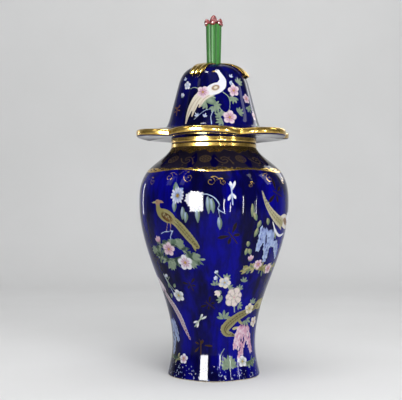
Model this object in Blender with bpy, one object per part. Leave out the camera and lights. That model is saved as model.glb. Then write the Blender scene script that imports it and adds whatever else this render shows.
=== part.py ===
"""Covered jar in blue glazed ironstone: a hollow six lobed body on a spreading foot, and a lift off lid
with a wide six lobed brim, a domed crown, three gilt leaves and a fluted stem that carries a ring of buds.

Metres, +Z up. The origin is the centre of the foot, and the front faces -Y.
"""

import math
from collections import namedtuple

import bmesh
import bpy
from mathutils import Matrix, Vector
from mathutils.geometry import interpolate_bezier

# Gaps between the body and the lid that rests on it
SEAT_GAP = 0.0003
FLANGE_CLEARANCE = 0.0015

# Lobes, shared by the body, the brim and the dome, with an even number of sides to each so that a
# vertex falls on every crest and every groove
LOBES = 6
BODY_SIDES_PER_LOBE = 8
LID_SIDES_PER_LOBE = 10

# Body heights, each measured up from the one before
FOOT_TO_WAIST = 0.056
WAIST_TO_FLARE = 0.114
FLARE_TO_BELLY = 0.143
BELLY_TO_SHOULDER = 0.055
SHOULDER_TO_NECK = 0.046
NECK_HEIGHT = 0.0073

# Body radii over the crests of the lobes, and how fast the radius grows with height there
FOOT_RADIUS = 0.0861
FOOT_LEAN = -0.22
WAIST_RADIUS = 0.0778
FLARE_RADIUS = 0.1036
FLARE_LEAN = 0.395
BELLY_RADIUS = 0.1399
SHOULDER_RADIUS = 0.1270
SHOULDER_LEAN = -0.68
NECK_RADIUS = 0.0783
NECK_LEAN = -0.45

# Body walls
BODY_GROOVE = 0.0047
WALL = 0.0075
RIM_ROUND = 0.0010
FOOT_ROUND = 0.0025
FOOT_RING_WIDTH = 0.0140
FOOT_RECESS = 0.0060
FLOOR_THICKNESS = 0.0090
FLOOR_CORNER = 0.0100
CORNER_SHARE = 0.3

# Lid, from its seat upwards
LID_TURN = math.radians(-9.7)
FLANGE_DEPTH = 0.0200
FLANGE_THICKNESS = 0.0065
COLLAR_HEIGHT = 0.0127
BRIM_RADIUS = 0.1458
BRIM_NOTCH_RADIUS = 0.1255
BRIM_DROP = 0.0018
BRIM_SAG = 0.0036
BRIM_BELLY = 0.0040
BRIM_BELLY_START = 0.45
BRIM_BELLY_END = 0.92
BRIM_CHAMFER = 0.0030
BRIM_EDGE = 0.0090
BRIM_EDGE_ROUND = 0.0020
BRIM_RISE = 0.0045
DOME_FOOT_RADIUS = 0.0915
DOME_FLARE_HEIGHT = 0.0200
DOME_FLARE_INWARD = 0.15
DOME_FLARE_UPWARD = 0.10
DOME_FLARE_STRAIGHT = 0.60
DOME_WAIST_RADIUS = 0.0816
DOME_TAPER_HEIGHT = 0.0600
DOME_TAPER = 0.0158
CROWN_HEIGHT = 0.0370
CROWN_FLAT_RADIUS = 0.0110
CROWN_SIDE_FULLNESS = 0.66
CROWN_TOP_FULLNESS = 0.72
DOME_GROOVE = 0.0036
LID_WALL = 0.0070

# Gilt leaves, laid down the dome from the stem at these angles round the lid
LEAF_ANGLES = (math.radians(-22), math.radians(80), math.radians(209))
LEAF_START = 0.0020
LEAF_LENGTH = 0.0590
LEAF_WIDTH = 0.0320
LEAF_RISE = 0.0028
LEAF_CURL = 0.0012
LEAF_RIB = 0.0018
LEAF_RIBS = 3
LEAF_ROWS = 7
LEAF_ROOT_SHARE = 0.90
LEAF_ROOT_SPREAD = math.radians(47)
LEAF_SCALLOP = 0.0030
LEAF_ROOT_DEPTH = 0.0045

# Stem and buds
STEM_FLUTES = 8
STEM_SIDES_PER_FLUTE = 4
STEM_FOOT_RADIUS = 0.0129
STEM_TOP_RADIUS = 0.0146
STEM_LENGTH = 0.0755
STEM_GROOVE = 0.0012
STEM_SINK = 0.0040
STEM_ROUND = 0.0012
FINIAL_TURN = math.radians(3)
BUDS = 6
BUD_TAPER = 0.35
BUD_RADIUS = 0.0060
BUD_HEIGHT = 0.0135
BUD_RING_RADIUS = 0.0122
BUD_DROP = 0.0032
BUD_TILT = math.radians(12)
CENTRE_BUD_RADIUS = 0.0082
CENTRE_BUD_HEIGHT = 0.0225
CENTRE_BUD_DROP = 0.0040

COBALT = (0.008, 0.012, 0.230, 1.0)
GOLD = (0.720, 0.480, 0.120, 1.0)
GREEN = (0.125, 0.320, 0.130, 1.0)
ROSE = (0.400, 0.120, 0.130, 1.0)
SMOOTH_ANGLE = math.radians(38)

# One ring of a turned and lobed skin: the radius over its crests, its height there, how much of that
# radius is left at the grooves between the lobes, and how far the ring sags in them
Ring = namedtuple("Ring", "radius z notch sag", defaults=(0,))


def glaze(name, colour, metallic, roughness):
    material = bpy.data.materials.new(name)
    material.use_nodes = True
    shader = material.node_tree.nodes["Principled BSDF"]
    shader.inputs["Base Color"].default_value = colour
    shader.inputs["Metallic"].default_value = metallic
    shader.inputs["Roughness"].default_value = roughness
    return material


def lobed(notch, lobes, angle):
    """Share of the crests' radius at an angle of a ring of round lobes whose grooves are at the notch."""
    half = math.pi / lobes
    across = (angle + half) % (2 * half) - half
    centre = (1 - notch**2) / (2 - 2 * notch * math.cos(half))
    arc = math.sqrt((1 - centre) ** 2 - (centre * math.sin(across)) ** 2)
    return centre * math.cos(across) + arc


def place_ring(verts, ring, lobes, sides):
    """Moves the vertices of one loop out to a ring, each at its own angle from the front."""
    step = 2 * math.pi / sides
    for vert in verts:
        angle = step * round(math.atan2(vert.co.x, -vert.co.y) / step)
        share = lobed(ring.notch, lobes, angle)
        radius = ring.radius * share
        sag = ring.sag * (1 - share) / (1 - ring.notch) if ring.sag else 0
        vert.co = (radius * math.sin(angle), -radius * math.cos(angle), ring.z - sag)


def loft(name, rings, lobes, sides, material):
    """A closed skin: a circle of vertices extruded from ring to ring, with both ends filled."""
    bm = bmesh.new()
    bmesh.ops.create_circle(bm, segments=sides, radius=rings[0].radius)
    place_ring(bm.verts, rings[0], lobes, sides)
    first = list(bm.edges)
    loop = first
    for ring in rings[1:]:
        grown = bmesh.ops.extrude_edge_only(bm, edges=loop)["geom"]
        verts = [item for item in grown if isinstance(item, bmesh.types.BMVert)]
        loop = [edge for edge in grown if isinstance(edge, bmesh.types.BMEdge)]
        place_ring(verts, ring, lobes, sides)
    bmesh.ops.holes_fill(bm, edges=first + loop, sides=0)
    bmesh.ops.recalc_face_normals(bm, faces=bm.faces)
    return finished(name, bm, material)


def finished(name, bm, material):
    mesh = bpy.data.meshes.new(name)
    bm.to_mesh(mesh)
    bm.free()
    mesh.materials.append(material)
    mesh.shade_smooth()
    mesh.set_sharp_from_angle(angle=SMOOTH_ANGLE)
    thing = bpy.data.objects.new(name, mesh)
    bpy.context.scene.collection.objects.link(thing)
    return thing


def swept(start, start_lean, end, end_lean, count):
    """(radius, z, lean) points of a curve between two, given as (radius, z), of known leans."""
    third = (end[1] - start[1]) / 3
    points = interpolate_bezier(
        Vector(start),
        Vector((start[0] + start_lean * third, start[1] + third)),
        Vector((end[0] - end_lean * third, end[1] - third)),
        Vector(end),
        count + 1,
    )
    ahead = points[1:] + points[-1:]
    behind = points[:1] + points[:-1]
    leans = [(b.x - a.x) / (b.y - a.y) for a, b in zip(behind, ahead)]
    return [(point.x, point.y, lean) for point, lean in zip(points, leans)]


def body_heights():
    waist = FOOT_TO_WAIST
    flare = waist + WAIST_TO_FLARE
    belly = flare + FLARE_TO_BELLY
    shoulder = belly + BELLY_TO_SHOULDER
    neck = shoulder + SHOULDER_TO_NECK
    return waist, flare, belly, shoulder, neck


def body_side():
    """The outer profile from the foot's edge to the neck, as (radius, z, lean) points."""
    waist, flare, belly, shoulder, neck = body_heights()
    stages = (
        ((FOOT_RADIUS, FOOT_ROUND), FOOT_LEAN, (WAIST_RADIUS, waist), 0, 3),
        ((WAIST_RADIUS, waist), 0, (FLARE_RADIUS, flare), FLARE_LEAN, 4),
        ((FLARE_RADIUS, flare), FLARE_LEAN, (BELLY_RADIUS, belly), 0, 5),
        ((BELLY_RADIUS, belly), 0, (SHOULDER_RADIUS, shoulder), SHOULDER_LEAN, 4),
        ((SHOULDER_RADIUS, shoulder), SHOULDER_LEAN, (NECK_RADIUS, neck), NECK_LEAN, 4),
    )
    side = [swept(*stages[0])[0]]
    for stage in stages:
        side += swept(*stage)[1:]
    return side


def body_notch(z):
    """The groove's share of the radius: full up to the shoulder, and gone at the neck."""
    *_, shoulder, neck = body_heights()
    rise = min(max((z - shoulder) / (neck - shoulder), 0), 1)
    fade = 1 - rise * rise * (3 - 2 * rise)
    return 1 - fade * BODY_GROOVE / BELLY_RADIUS


def rim_height():
    return body_heights()[-1] + NECK_HEIGHT


def body_rings():
    """The body's skin: from the recess under the foot, up the outside, over the rim and down inside."""
    side = body_side()
    rim = rim_height()
    bore = NECK_RADIUS - WALL
    foot = body_notch(0)
    ring_inside = FOOT_RADIUS - FOOT_RING_WIDTH
    floor = FOOT_RECESS + FLOOR_THICKNESS
    rings = [
        Ring(ring_inside - FOOT_ROUND, FOOT_RECESS, foot),
        Ring(ring_inside, 0, foot),
        Ring(FOOT_RADIUS - FOOT_ROUND, 0, foot),
    ]
    rings += [Ring(radius, z, body_notch(z)) for radius, z, _ in side]
    rings += [
        Ring(NECK_RADIUS, rim - RIM_ROUND, 1),
        Ring(NECK_RADIUS - RIM_ROUND, rim, 1),
        Ring(bore + RIM_ROUND, rim, 1),
        Ring(bore, rim - RIM_ROUND, 1),
    ]
    inside = [
        Ring(radius - WALL * math.hypot(1, lean), z, body_notch(z))
        for radius, z, lean in side[::-2]
        if z > floor + FLOOR_CORNER
    ]
    rings += [Ring(bore, inside[0].z, 1)] + inside[1:]
    last = inside[-1]
    cut = FLOOR_CORNER * CORNER_SHARE
    rings += [
        Ring(last.radius, floor + FLOOR_CORNER, last.notch),
        Ring(last.radius - cut, floor + cut, last.notch),
        Ring(last.radius - FLOOR_CORNER, floor, last.notch),
    ]
    return rings


def brim_edge_height():
    """The lower side of the brim's upright gilt edge, above the seat."""
    return COLLAR_HEIGHT - BRIM_DROP + BRIM_CHAMFER


def dome_side():
    """The dome's outer profile over its crests, as (radius, z) points above the seat, up to the crown."""
    foot = brim_edge_height() + BRIM_EDGE + BRIM_RISE
    waist = foot + DOME_FLARE_HEIGHT
    taper_top = waist + DOME_TAPER_HEIGHT
    crown = taper_top + CROWN_HEIGHT
    shoulder = DOME_WAIST_RADIUS - DOME_TAPER
    lean = -DOME_TAPER / DOME_TAPER_HEIGHT
    inward = DOME_FLARE_HEIGHT * DOME_FLARE_INWARD
    upward = DOME_FLARE_HEIGHT * DOME_FLARE_UPWARD
    straight = DOME_FLARE_HEIGHT * DOME_FLARE_STRAIGHT
    flare = interpolate_bezier(
        Vector((DOME_FOOT_RADIUS, foot)),
        Vector((DOME_FOOT_RADIUS - inward, foot + upward)),
        Vector((DOME_WAIST_RADIUS - lean * straight, waist - straight)),
        Vector((DOME_WAIST_RADIUS, waist)),
        4,
    )
    rise = CROWN_HEIGHT * CROWN_SIDE_FULLNESS
    top = interpolate_bezier(
        Vector((shoulder, taper_top)),
        Vector((shoulder + lean * rise, taper_top + rise)),
        Vector((shoulder * CROWN_TOP_FULLNESS, crown)),
        Vector((CROWN_FLAT_RADIUS, crown)),
        8,
    )
    middle = Vector((DOME_WAIST_RADIUS - DOME_TAPER / 2, (waist + taper_top) / 2))
    return flare + [middle] + top


def brim_ring(radius, z):
    """A ring of the brim, whose lobes and sag are full at its edge and gone at the round collar."""
    reach = (radius - NECK_RADIUS) / (BRIM_RADIUS - NECK_RADIUS)
    reach = min(max(reach, 0), 1)
    return Ring(radius, z, 1 - reach * (1 - BRIM_NOTCH_RADIUS / BRIM_RADIUS), BRIM_SAG * reach**2)


def underside():
    """The brim's full underside, from the collar out to the chamfer below its gilt edge."""
    edge = BRIM_RADIUS - BRIM_CHAMFER
    width = edge - NECK_RADIUS
    drop = COLLAR_HEIGHT - BRIM_DROP
    return interpolate_bezier(
        Vector((NECK_RADIUS + RIM_ROUND, COLLAR_HEIGHT)),
        Vector((NECK_RADIUS + width * BRIM_BELLY_START, COLLAR_HEIGHT - BRIM_BELLY)),
        Vector((NECK_RADIUS + width * BRIM_BELLY_END, drop - BRIM_BELLY)),
        Vector((edge, drop)),
        6,
    )


def inner_dome(dome, notch):
    """The hollow under the dome: its outer profile brought in by the wall."""
    behind = dome[:1] + dome[:-1]
    ahead = dome[1:] + dome[-1:]
    rings = []
    for point, before, after in zip(dome, behind, ahead):
        along = (after - before).normalized()
        inner = point + Vector((-along.y, along.x)) * LID_WALL
        rings.append(Ring(inner.x, inner.y, notch))
    return rings


def lid_rings():
    """The lid's skin: down the hollow dome, round the flange, collar and brim, and up the dome again."""
    flange = NECK_RADIUS - WALL - FLANGE_CLEARANCE
    throat = flange - FLANGE_THICKNESS
    edge_low = brim_edge_height()
    edge_high = edge_low + BRIM_EDGE
    edge = brim_ring(BRIM_RADIUS, edge_low)
    dome = dome_side()
    dome_notch = 1 - DOME_GROOVE / DOME_WAIST_RADIUS
    rings = inner_dome(dome[2:], dome_notch)[::-2]
    rings += [
        Ring(throat, COLLAR_HEIGHT, 1),
        Ring(throat, -FLANGE_DEPTH, 1),
        Ring(flange, -FLANGE_DEPTH, 1),
        Ring(flange, 0, 1),
        Ring(NECK_RADIUS, 0, 1),
    ]
    rings += [brim_ring(point.x, point.y) for point in underside()]
    rings += [
        edge,
        edge._replace(z=edge_high - BRIM_EDGE_ROUND),
        edge._replace(z=edge_high, radius=BRIM_RADIUS - BRIM_EDGE_ROUND),
    ]
    rings += [Ring(point.x, point.y, dome_notch) for point in dome]
    return rings


class DomePath:
    """Walks down the dome's profile from its crown, giving a place and an outward normal on it."""

    def __init__(self):
        self.points = dome_side()[::-1]
        self.lengths = [0]
        for a, b in zip(self.points, self.points[1:]):
            self.lengths.append(self.lengths[-1] + (b - a).length)

    def at(self, distance):
        spans = range(len(self.points) - 1)
        index = max([i for i in spans if self.lengths[i] <= distance], default=0)
        a, b = self.points[index], self.points[index + 1]
        share = (distance - self.lengths[index]) / (b - a).length
        along = (b - a).normalized()
        return a.lerp(b, share), Vector((-along.y, along.x))


def leaf_rib(across):
    """1 on the crests of the ribs and 0 in the furrows between them, for across from -1 to 1."""
    return abs(math.sin(math.pi * LEAF_RIBS * (across + 1) / 2))


def build_leaf(index, middle, material):
    """One leaf: a ribbed sheet laid down the dome from the stem, thickened into the dome's wall."""
    bm = bmesh.new()
    bmesh.ops.create_grid(bm, x_segments=2 * LEAF_RIBS, y_segments=LEAF_ROWS, size=1)
    path = DomePath()
    for vert in bm.verts:
        across = vert.co.x
        down = (1 - vert.co.y) / 2
        rib = leaf_rib(across)
        tip = LEAF_LENGTH - LEAF_SCALLOP * (1 - rib + across**2)
        point, normal = path.at(LEAF_START + down * tip)
        lift = LEAF_RISE + LEAF_CURL * down**3 + LEAF_RIB * rib * down
        place = point + normal * lift
        fullness = LEAF_ROOT_SHARE + (1 - LEAF_ROOT_SHARE) * math.sin(math.pi * down)
        half_width = LEAF_WIDTH / 2 * fullness
        angle = middle + across * min(half_width / point.x, LEAF_ROOT_SPREAD)
        vert.co = (place.x * math.sin(angle), -place.x * math.cos(angle), place.y)
    leaf = finished(f"lid_leaf_{index}", bm, material)
    body = leaf.modifiers.new("thickness", "SOLIDIFY")
    body.thickness = LEAF_RISE + LEAF_ROOT_DEPTH
    body.offset = -1
    return leaf


def build_stem(crown, material):
    """The fluted stem, which stands in the crown and widens a little to its top."""
    top = crown + STEM_LENGTH
    notch = 1 - STEM_GROOVE / STEM_FOOT_RADIUS
    rings = [
        Ring(STEM_FOOT_RADIUS, crown - STEM_SINK, notch),
        Ring(STEM_FOOT_RADIUS, crown + STEM_SINK, notch),
        Ring(STEM_TOP_RADIUS, top - STEM_ROUND, notch),
        Ring(STEM_TOP_RADIUS - STEM_ROUND, top, notch),
    ]
    return loft("lid_stem", rings, STEM_FLUTES, STEM_FLUTES * STEM_SIDES_PER_FLUTE, material)


def build_bud(name, radius, height, material):
    """A pointed bud on its own base, standing on the origin."""
    bm = bmesh.new()
    bmesh.ops.create_uvsphere(bm, u_segments=8, v_segments=6, radius=1)
    for vert in bm.verts:
        rise = (vert.co.z + 1) / 2
        width = radius * (1 - BUD_TAPER * rise**2)
        vert.co = (vert.co.x * width, vert.co.y * width, rise * height)
    return finished(name, bm, material)


def build_finial(crown, green, rose):
    """The stem, the ring of buds round its top, and the taller bud in the middle."""
    top = crown + STEM_LENGTH
    stem = build_stem(crown, green)
    stem.rotation_euler.z = FINIAL_TURN
    centre = build_bud("lid_bud_centre", CENTRE_BUD_RADIUS, CENTRE_BUD_HEIGHT, rose)
    centre.location.z = top - CENTRE_BUD_DROP
    pieces = [stem, centre]
    for index in range(BUDS):
        bud = build_bud(f"lid_bud_{index}", BUD_RADIUS, BUD_HEIGHT, rose)
        turn = Matrix.Rotation(2 * math.pi * index / BUDS + FINIAL_TURN, 4, "Z")
        out = Matrix.Translation((0, -BUD_RING_RADIUS, top - BUD_DROP))
        bud.matrix_world = turn @ out @ Matrix.Rotation(BUD_TILT, 4, "X")
        pieces.append(bud)
    return pieces


def apply_to_lid(lid, pieces):
    """Joins the leaves and the finial to the lid, as they are fired together."""
    applied = bpy.data.collections.new("lid_applied")
    bpy.context.scene.collection.children.link(applied)
    for piece in pieces:
        bpy.context.scene.collection.objects.unlink(piece)
        applied.objects.link(piece)
        piece.parent = lid
        piece.hide_render = True
        piece.display_type = "WIRE"
    join = lid.modifiers.new("applied", "BOOLEAN")
    join.operation = "UNION"
    join.operand_type = "COLLECTION"
    join.collection = applied
    join.solver = "EXACT"
    join.material_mode = "TRANSFER"


def main():
    for thing in list(bpy.data.objects):
        bpy.data.objects.remove(thing)
    cobalt = glaze("cobalt_glaze", COBALT, 0.0, 0.08)
    gilding = glaze("gilding", GOLD, 1.0, 0.2)
    green = glaze("green_enamel", GREEN, 0.0, 0.2)
    rose = glaze("rose_enamel", ROSE, 0.0, 0.25)
    loft("vase_body", body_rings(), LOBES, LOBES * BODY_SIDES_PER_LOBE, cobalt)
    lid = loft("lid", lid_rings(), LOBES, LOBES * LID_SIDES_PER_LOBE, cobalt)
    lid.location.z = rim_height() + SEAT_GAP
    lid.rotation_euler.z = LID_TURN
    crown = dome_side()[-1].y
    leaves = [build_leaf(index, angle, gilding) for index, angle in enumerate(LEAF_ANGLES)]
    apply_to_lid(lid, leaves + build_finial(crown, green, rose))


main()
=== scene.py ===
"""Looks of the covered ironstone vase: cobalt glaze painted with birds and blossoms, gilding and finial."""

import math
import random
from collections import namedtuple

import bpy
import numpy as np
from mathutils import Matrix, Vector
from mathutils.kdtree import KDTree


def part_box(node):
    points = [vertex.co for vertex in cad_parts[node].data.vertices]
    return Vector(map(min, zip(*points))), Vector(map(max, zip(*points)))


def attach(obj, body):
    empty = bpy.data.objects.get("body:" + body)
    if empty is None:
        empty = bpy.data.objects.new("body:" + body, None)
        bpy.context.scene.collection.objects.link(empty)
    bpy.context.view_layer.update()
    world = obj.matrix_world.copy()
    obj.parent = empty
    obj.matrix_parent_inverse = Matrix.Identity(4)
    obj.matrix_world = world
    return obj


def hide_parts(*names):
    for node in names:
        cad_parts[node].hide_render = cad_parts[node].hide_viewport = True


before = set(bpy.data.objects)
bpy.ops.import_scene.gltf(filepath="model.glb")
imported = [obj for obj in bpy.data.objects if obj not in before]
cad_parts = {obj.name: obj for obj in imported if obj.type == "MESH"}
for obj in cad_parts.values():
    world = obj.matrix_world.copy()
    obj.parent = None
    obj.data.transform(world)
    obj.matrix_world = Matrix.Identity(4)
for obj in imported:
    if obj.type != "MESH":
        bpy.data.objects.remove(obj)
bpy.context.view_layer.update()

MM = 0.001

# Heights that the solids give
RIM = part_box("vase_body")[1][2]
SEAT = RIM + 0.0003

# Body: height, radius over the crests of the lobes, and how fast that radius grows there
LOBES = 6
BODY_STATIONS = (
    (0.0025, 0.0861, -0.22),
    (0.0560, 0.0778, 0.0),
    (0.1700, 0.1036, 0.395),
    (0.3130, 0.1399, 0.0),
    (0.3680, 0.1270, -0.68),
    (0.4140, 0.0783, -0.45),
)
BODY_GROOVE = 0.0047 / 0.1399
BODY_SIDES = 180
BODY_ROW = 0.0049
FRONT_CUTS = 2
BACK_CUTS = 1
WALL = 0.0075
NECK_RADIUS = 0.0783
RIM_ROUND = 0.0018
FOOT_ROUND = 0.0025
FOOT_RING_INSIDE = 0.0721
FOOT_RECESS = 0.0060
FOOT_FLAT = 0.0050
FOOT_ZONE = 0.0690
BISCUIT_HEIGHT = 0.0016
FLOOR = 0.0150
FLOOR_CORNER = 0.0100
FINE_ROUND = 0.0010
RECESS_RINGS = (0, 0.0200, 0.0450)
FLOOR_RINGS = (0.0400, 0.0180, 0)
NECK_RINGS = (0.0020, 0.0040)

# Lid, in heights above its seat
LID_TURN = math.radians(-9.7)
LID_SIDES = 348
FLANGE_DEPTH = 0.0200
FLANGE_RADIUS = 0.0693
FLANGE_THICKNESS = 0.0065
COLLAR_HEIGHT = 0.0127
COLLAR_GILT = 0.0088
BRIM_RADIUS = 0.1456
BRIM_NOTCH = 0.1255 / 0.1458
BRIM_SAG = 0.0036
BRIM_BELLY = 0.0016
BRIM_DROP = 0.0018
BRIM_TUCK = 0.0030
BRIM_EDGE_LOW = 0.0139
BRIM_EDGE = 0.0090
BRIM_EDGE_ROUND = 0.0030
BRIM_RISE = 0.0045
LOWER_ROLL = 0.0026
UPPER_ROLL = 0.0030
HOLLOW_START = 0.0120
HOLLOW_ROW = 0.0050
DOME_FOOT_RADIUS = 0.0915
DOME_FLARE_HEIGHT = 0.0200
DOME_WAIST_RADIUS = 0.0816
DOME_TAPER_HEIGHT = 0.0600
DOME_TAPER = 0.0158
CROWN_HEIGHT = 0.0370
CROWN_FLAT_RADIUS = 0.0110
DOME_GROOVE = 0.0036 / 0.0816
LID_WALL = 0.0070
LID_ROW = 0.0014
GILT_RIM = 0.0075
GILT_UNDER_RIM = 0.0006
GILT_SEAM = 0.0004

# Leaves, stem and buds on the lid
LEAF_ANGLES = (-22, 80, 209)
LEAF_START = 0.0020
LEAF_LENGTH = 0.0590
LEAF_WIDTH = 0.0310
LEAF_RISE = 0.0028
LEAF_CURL = 0.0012
LEAF_RIB = 0.0018
LEAF_RIBS = 3
LEAF_ROOT_SHARE = 0.90
LEAF_ROOT_SPREAD = math.radians(47)
LEAF_SCALLOP = 0.0030
LEAF_SIDE_DROP = 0.0012
LEAF_EDGE_ROUND = 0.0006
LEAF_THICKNESS = LEAF_RISE + 0.0045
STEM_FLUTES = 8
STEM_FOOT_RADIUS = 0.0129
STEM_TOP_RADIUS = 0.0146
STEM_LENGTH = 0.0755
STEM_GROOVE = 0.0012
STEM_SUNK = 0.0040
STEM_EDGE_ROUND = 0.0012
STEM_TOP_RING = 0.0060
FINIAL_TURN = math.radians(3)
BUDS = 6
BUD_RADIUS = 0.0060
BUD_HEIGHT = 0.0135
BUD_RING_RADIUS = 0.0122
BUD_DROP = 0.0032
BUD_TILT = math.radians(12)
BUD_TAPER = 0.35
BUD_CREASE = 0.06
CENTRE_BUD_RADIUS = 0.0082
CENTRE_BUD_HEIGHT = 0.0224
CENTRE_BUD_DROP = 0.0040

# A place on a turned skin's outline: the radius left at the grooves there, and how far they sag
Point = namedtuple("Point", "radius z notch sag", defaults=(0,))


def lobed(share, angle, lobes=LOBES):
    """How much of its crest's radius a lobed form has at each angle, where its grooves have that share."""
    half = math.pi / lobes
    across = (angle + half) % (2 * half) - half
    centre = (1 - share**2) / (2 - 2 * share * math.cos(half))
    return centre * np.cos(across) + np.sqrt((1 - centre) ** 2 - (centre * np.sin(across)) ** 2)


def bezier(start, start_hand, end_hand, end, count):
    """Points along one curve, both ends included."""
    t = np.linspace(0, 1, count + 1)[:, None]
    a, b, c, d = (np.asarray(place, float) for place in (start, start_hand, end_hand, end))
    return a * (1 - t) ** 3 + 3 * b * t * (1 - t) ** 2 + 3 * c * t * t * (1 - t) + d * t**3


def quarter(centre, start, end, count=4):
    """Points of a rounded corner about a centre, from one place to another."""
    t = np.linspace(0, math.pi / 2, count + 1)[:, None]
    a = np.subtract(start, centre)
    b = np.subtract(end, centre)
    return np.asarray(centre) + a * np.cos(t) + b * np.sin(t)


def lengths_along(points):
    """How far each point lies along its line."""
    return np.concatenate([[0], np.cumsum(np.hypot(*np.diff(points, axis=0).T))])


def out_from_axis(places):
    return np.hypot(places[:, 0], places[:, 1])


def round_from_front(places):
    return np.arctan2(places[:, 0], -places[:, 1])


def body_radius(z):
    """Outer radius over the crests at each height, a smooth curve through the stations."""
    z = np.asarray(z, float)
    radius = np.full(z.shape, NECK_RADIUS)
    for (low, r_low, lean_low), (high, r_high, lean_high) in zip(BODY_STATIONS, BODY_STATIONS[1:]):
        t = (z - low) / (high - low)
        third = (high - low) / 3
        curve = (
            r_low * (1 - t) ** 3
            + 3 * (r_low + lean_low * third) * t * (1 - t) ** 2
            + 3 * (r_high - lean_high * third) * t * t * (1 - t)
            + r_high * t**3
        )
        radius = np.where((t >= 0) & (t <= 1), curve, radius)
    return radius


def body_notch(z):
    """Share of the radius left at the grooves: they fade out between the shoulder and the neck."""
    shoulder = BODY_STATIONS[-2][0]
    neck = BODY_STATIONS[-1][0]
    rise = np.clip((z - shoulder) / (neck - shoulder), 0, 1)
    return 1 - (1 - rise * rise * (3 - 2 * rise)) * BODY_GROOVE


def paced(points, pace):
    """The same line with its points an even pace apart."""
    points = np.asarray(points, float)
    lengths = lengths_along(points)
    count = max(1, round(lengths[-1] / pace))
    places = np.linspace(0, lengths[-1], count + 1)
    return np.stack([np.interp(places, lengths, column) for column in points.T], axis=1)


def body_outline():
    """Outline of the body from the middle of its underside, up the outside and down inside to the floor."""
    foot = BODY_STATIONS[0][1]
    neck = BODY_STATIONS[-1][0]
    heights = np.linspace(BODY_STATIONS[0][0], neck, 400)
    outside = paced(np.stack([body_radius(heights), heights], axis=1), BODY_ROW)
    inner_heights = np.linspace(neck, FLOOR + FLOOR_CORNER, 22)
    lean = np.gradient(body_radius(heights), heights)
    thick = WALL * np.hypot(1, np.interp(inner_heights, heights, lean))
    bore = NECK_RADIUS - WALL
    inner = body_radius(inner_heights) - thick
    inner[0] = bore
    last = inner[-1]
    runs = [
        [(r, FOOT_RECESS) for r in RECESS_RINGS],
        quarter((FOOT_RING_INSIDE - FOOT_ROUND, FOOT_RECESS - FOOT_ROUND),
                (FOOT_RING_INSIDE - FOOT_ROUND, FOOT_RECESS), (FOOT_RING_INSIDE, FOOT_RECESS - FOOT_ROUND), 3),
        quarter((FOOT_RING_INSIDE + FINE_ROUND, FINE_ROUND), (FOOT_RING_INSIDE, FINE_ROUND),
                (FOOT_RING_INSIDE + FINE_ROUND, 0), 3),
        [(foot - FOOT_ROUND - FOOT_FLAT, 0)],
        quarter((foot - FOOT_ROUND, FOOT_ROUND), (foot - FOOT_ROUND, 0), (foot, FOOT_ROUND), 4),
        outside[1:],
        [(NECK_RADIUS, neck + rise) for rise in NECK_RINGS],
        quarter((NECK_RADIUS - RIM_ROUND, RIM - RIM_ROUND), (NECK_RADIUS, RIM - RIM_ROUND),
                (NECK_RADIUS - RIM_ROUND, RIM), 4),
        quarter((bore + RIM_ROUND, RIM - RIM_ROUND), (bore + RIM_ROUND, RIM), (bore, RIM - RIM_ROUND), 4),
        np.stack([inner, inner_heights], axis=1),
        quarter((last - FLOOR_CORNER, FLOOR + FLOOR_CORNER), (last, FLOOR + FLOOR_CORNER),
                (last - FLOOR_CORNER, FLOOR), 5)[1:],
        [(r, FLOOR) for r in FLOOR_RINGS],
    ]
    return [Point(r, z, float(body_notch(z)) if z < neck else 1) for run in runs for r, z in run]


def dome_line(count=60):
    """The dome's outer profile from its foot to its crown, as (radius, height above the seat)."""
    foot = BRIM_EDGE_LOW + BRIM_EDGE + BRIM_RISE
    waist = foot + DOME_FLARE_HEIGHT
    taper_top = waist + DOME_TAPER_HEIGHT
    crown = taper_top + CROWN_HEIGHT
    shoulder = DOME_WAIST_RADIUS - DOME_TAPER
    lean = -DOME_TAPER / DOME_TAPER_HEIGHT
    straight = DOME_FLARE_HEIGHT * 0.6
    rise = CROWN_HEIGHT * 0.66
    flare = bezier(
        (DOME_FOOT_RADIUS, foot),
        (DOME_FOOT_RADIUS - DOME_FLARE_HEIGHT * 0.15, foot + DOME_FLARE_HEIGHT * 0.10),
        (DOME_WAIST_RADIUS - lean * straight, waist - straight),
        (DOME_WAIST_RADIUS, waist),
        count,
    )
    top = bezier(
        (shoulder, taper_top),
        (shoulder + lean * rise, taper_top + rise),
        (shoulder * 0.72, crown),
        (CROWN_FLAT_RADIUS, crown),
        count,
    )
    return np.concatenate([flare, top])


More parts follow.
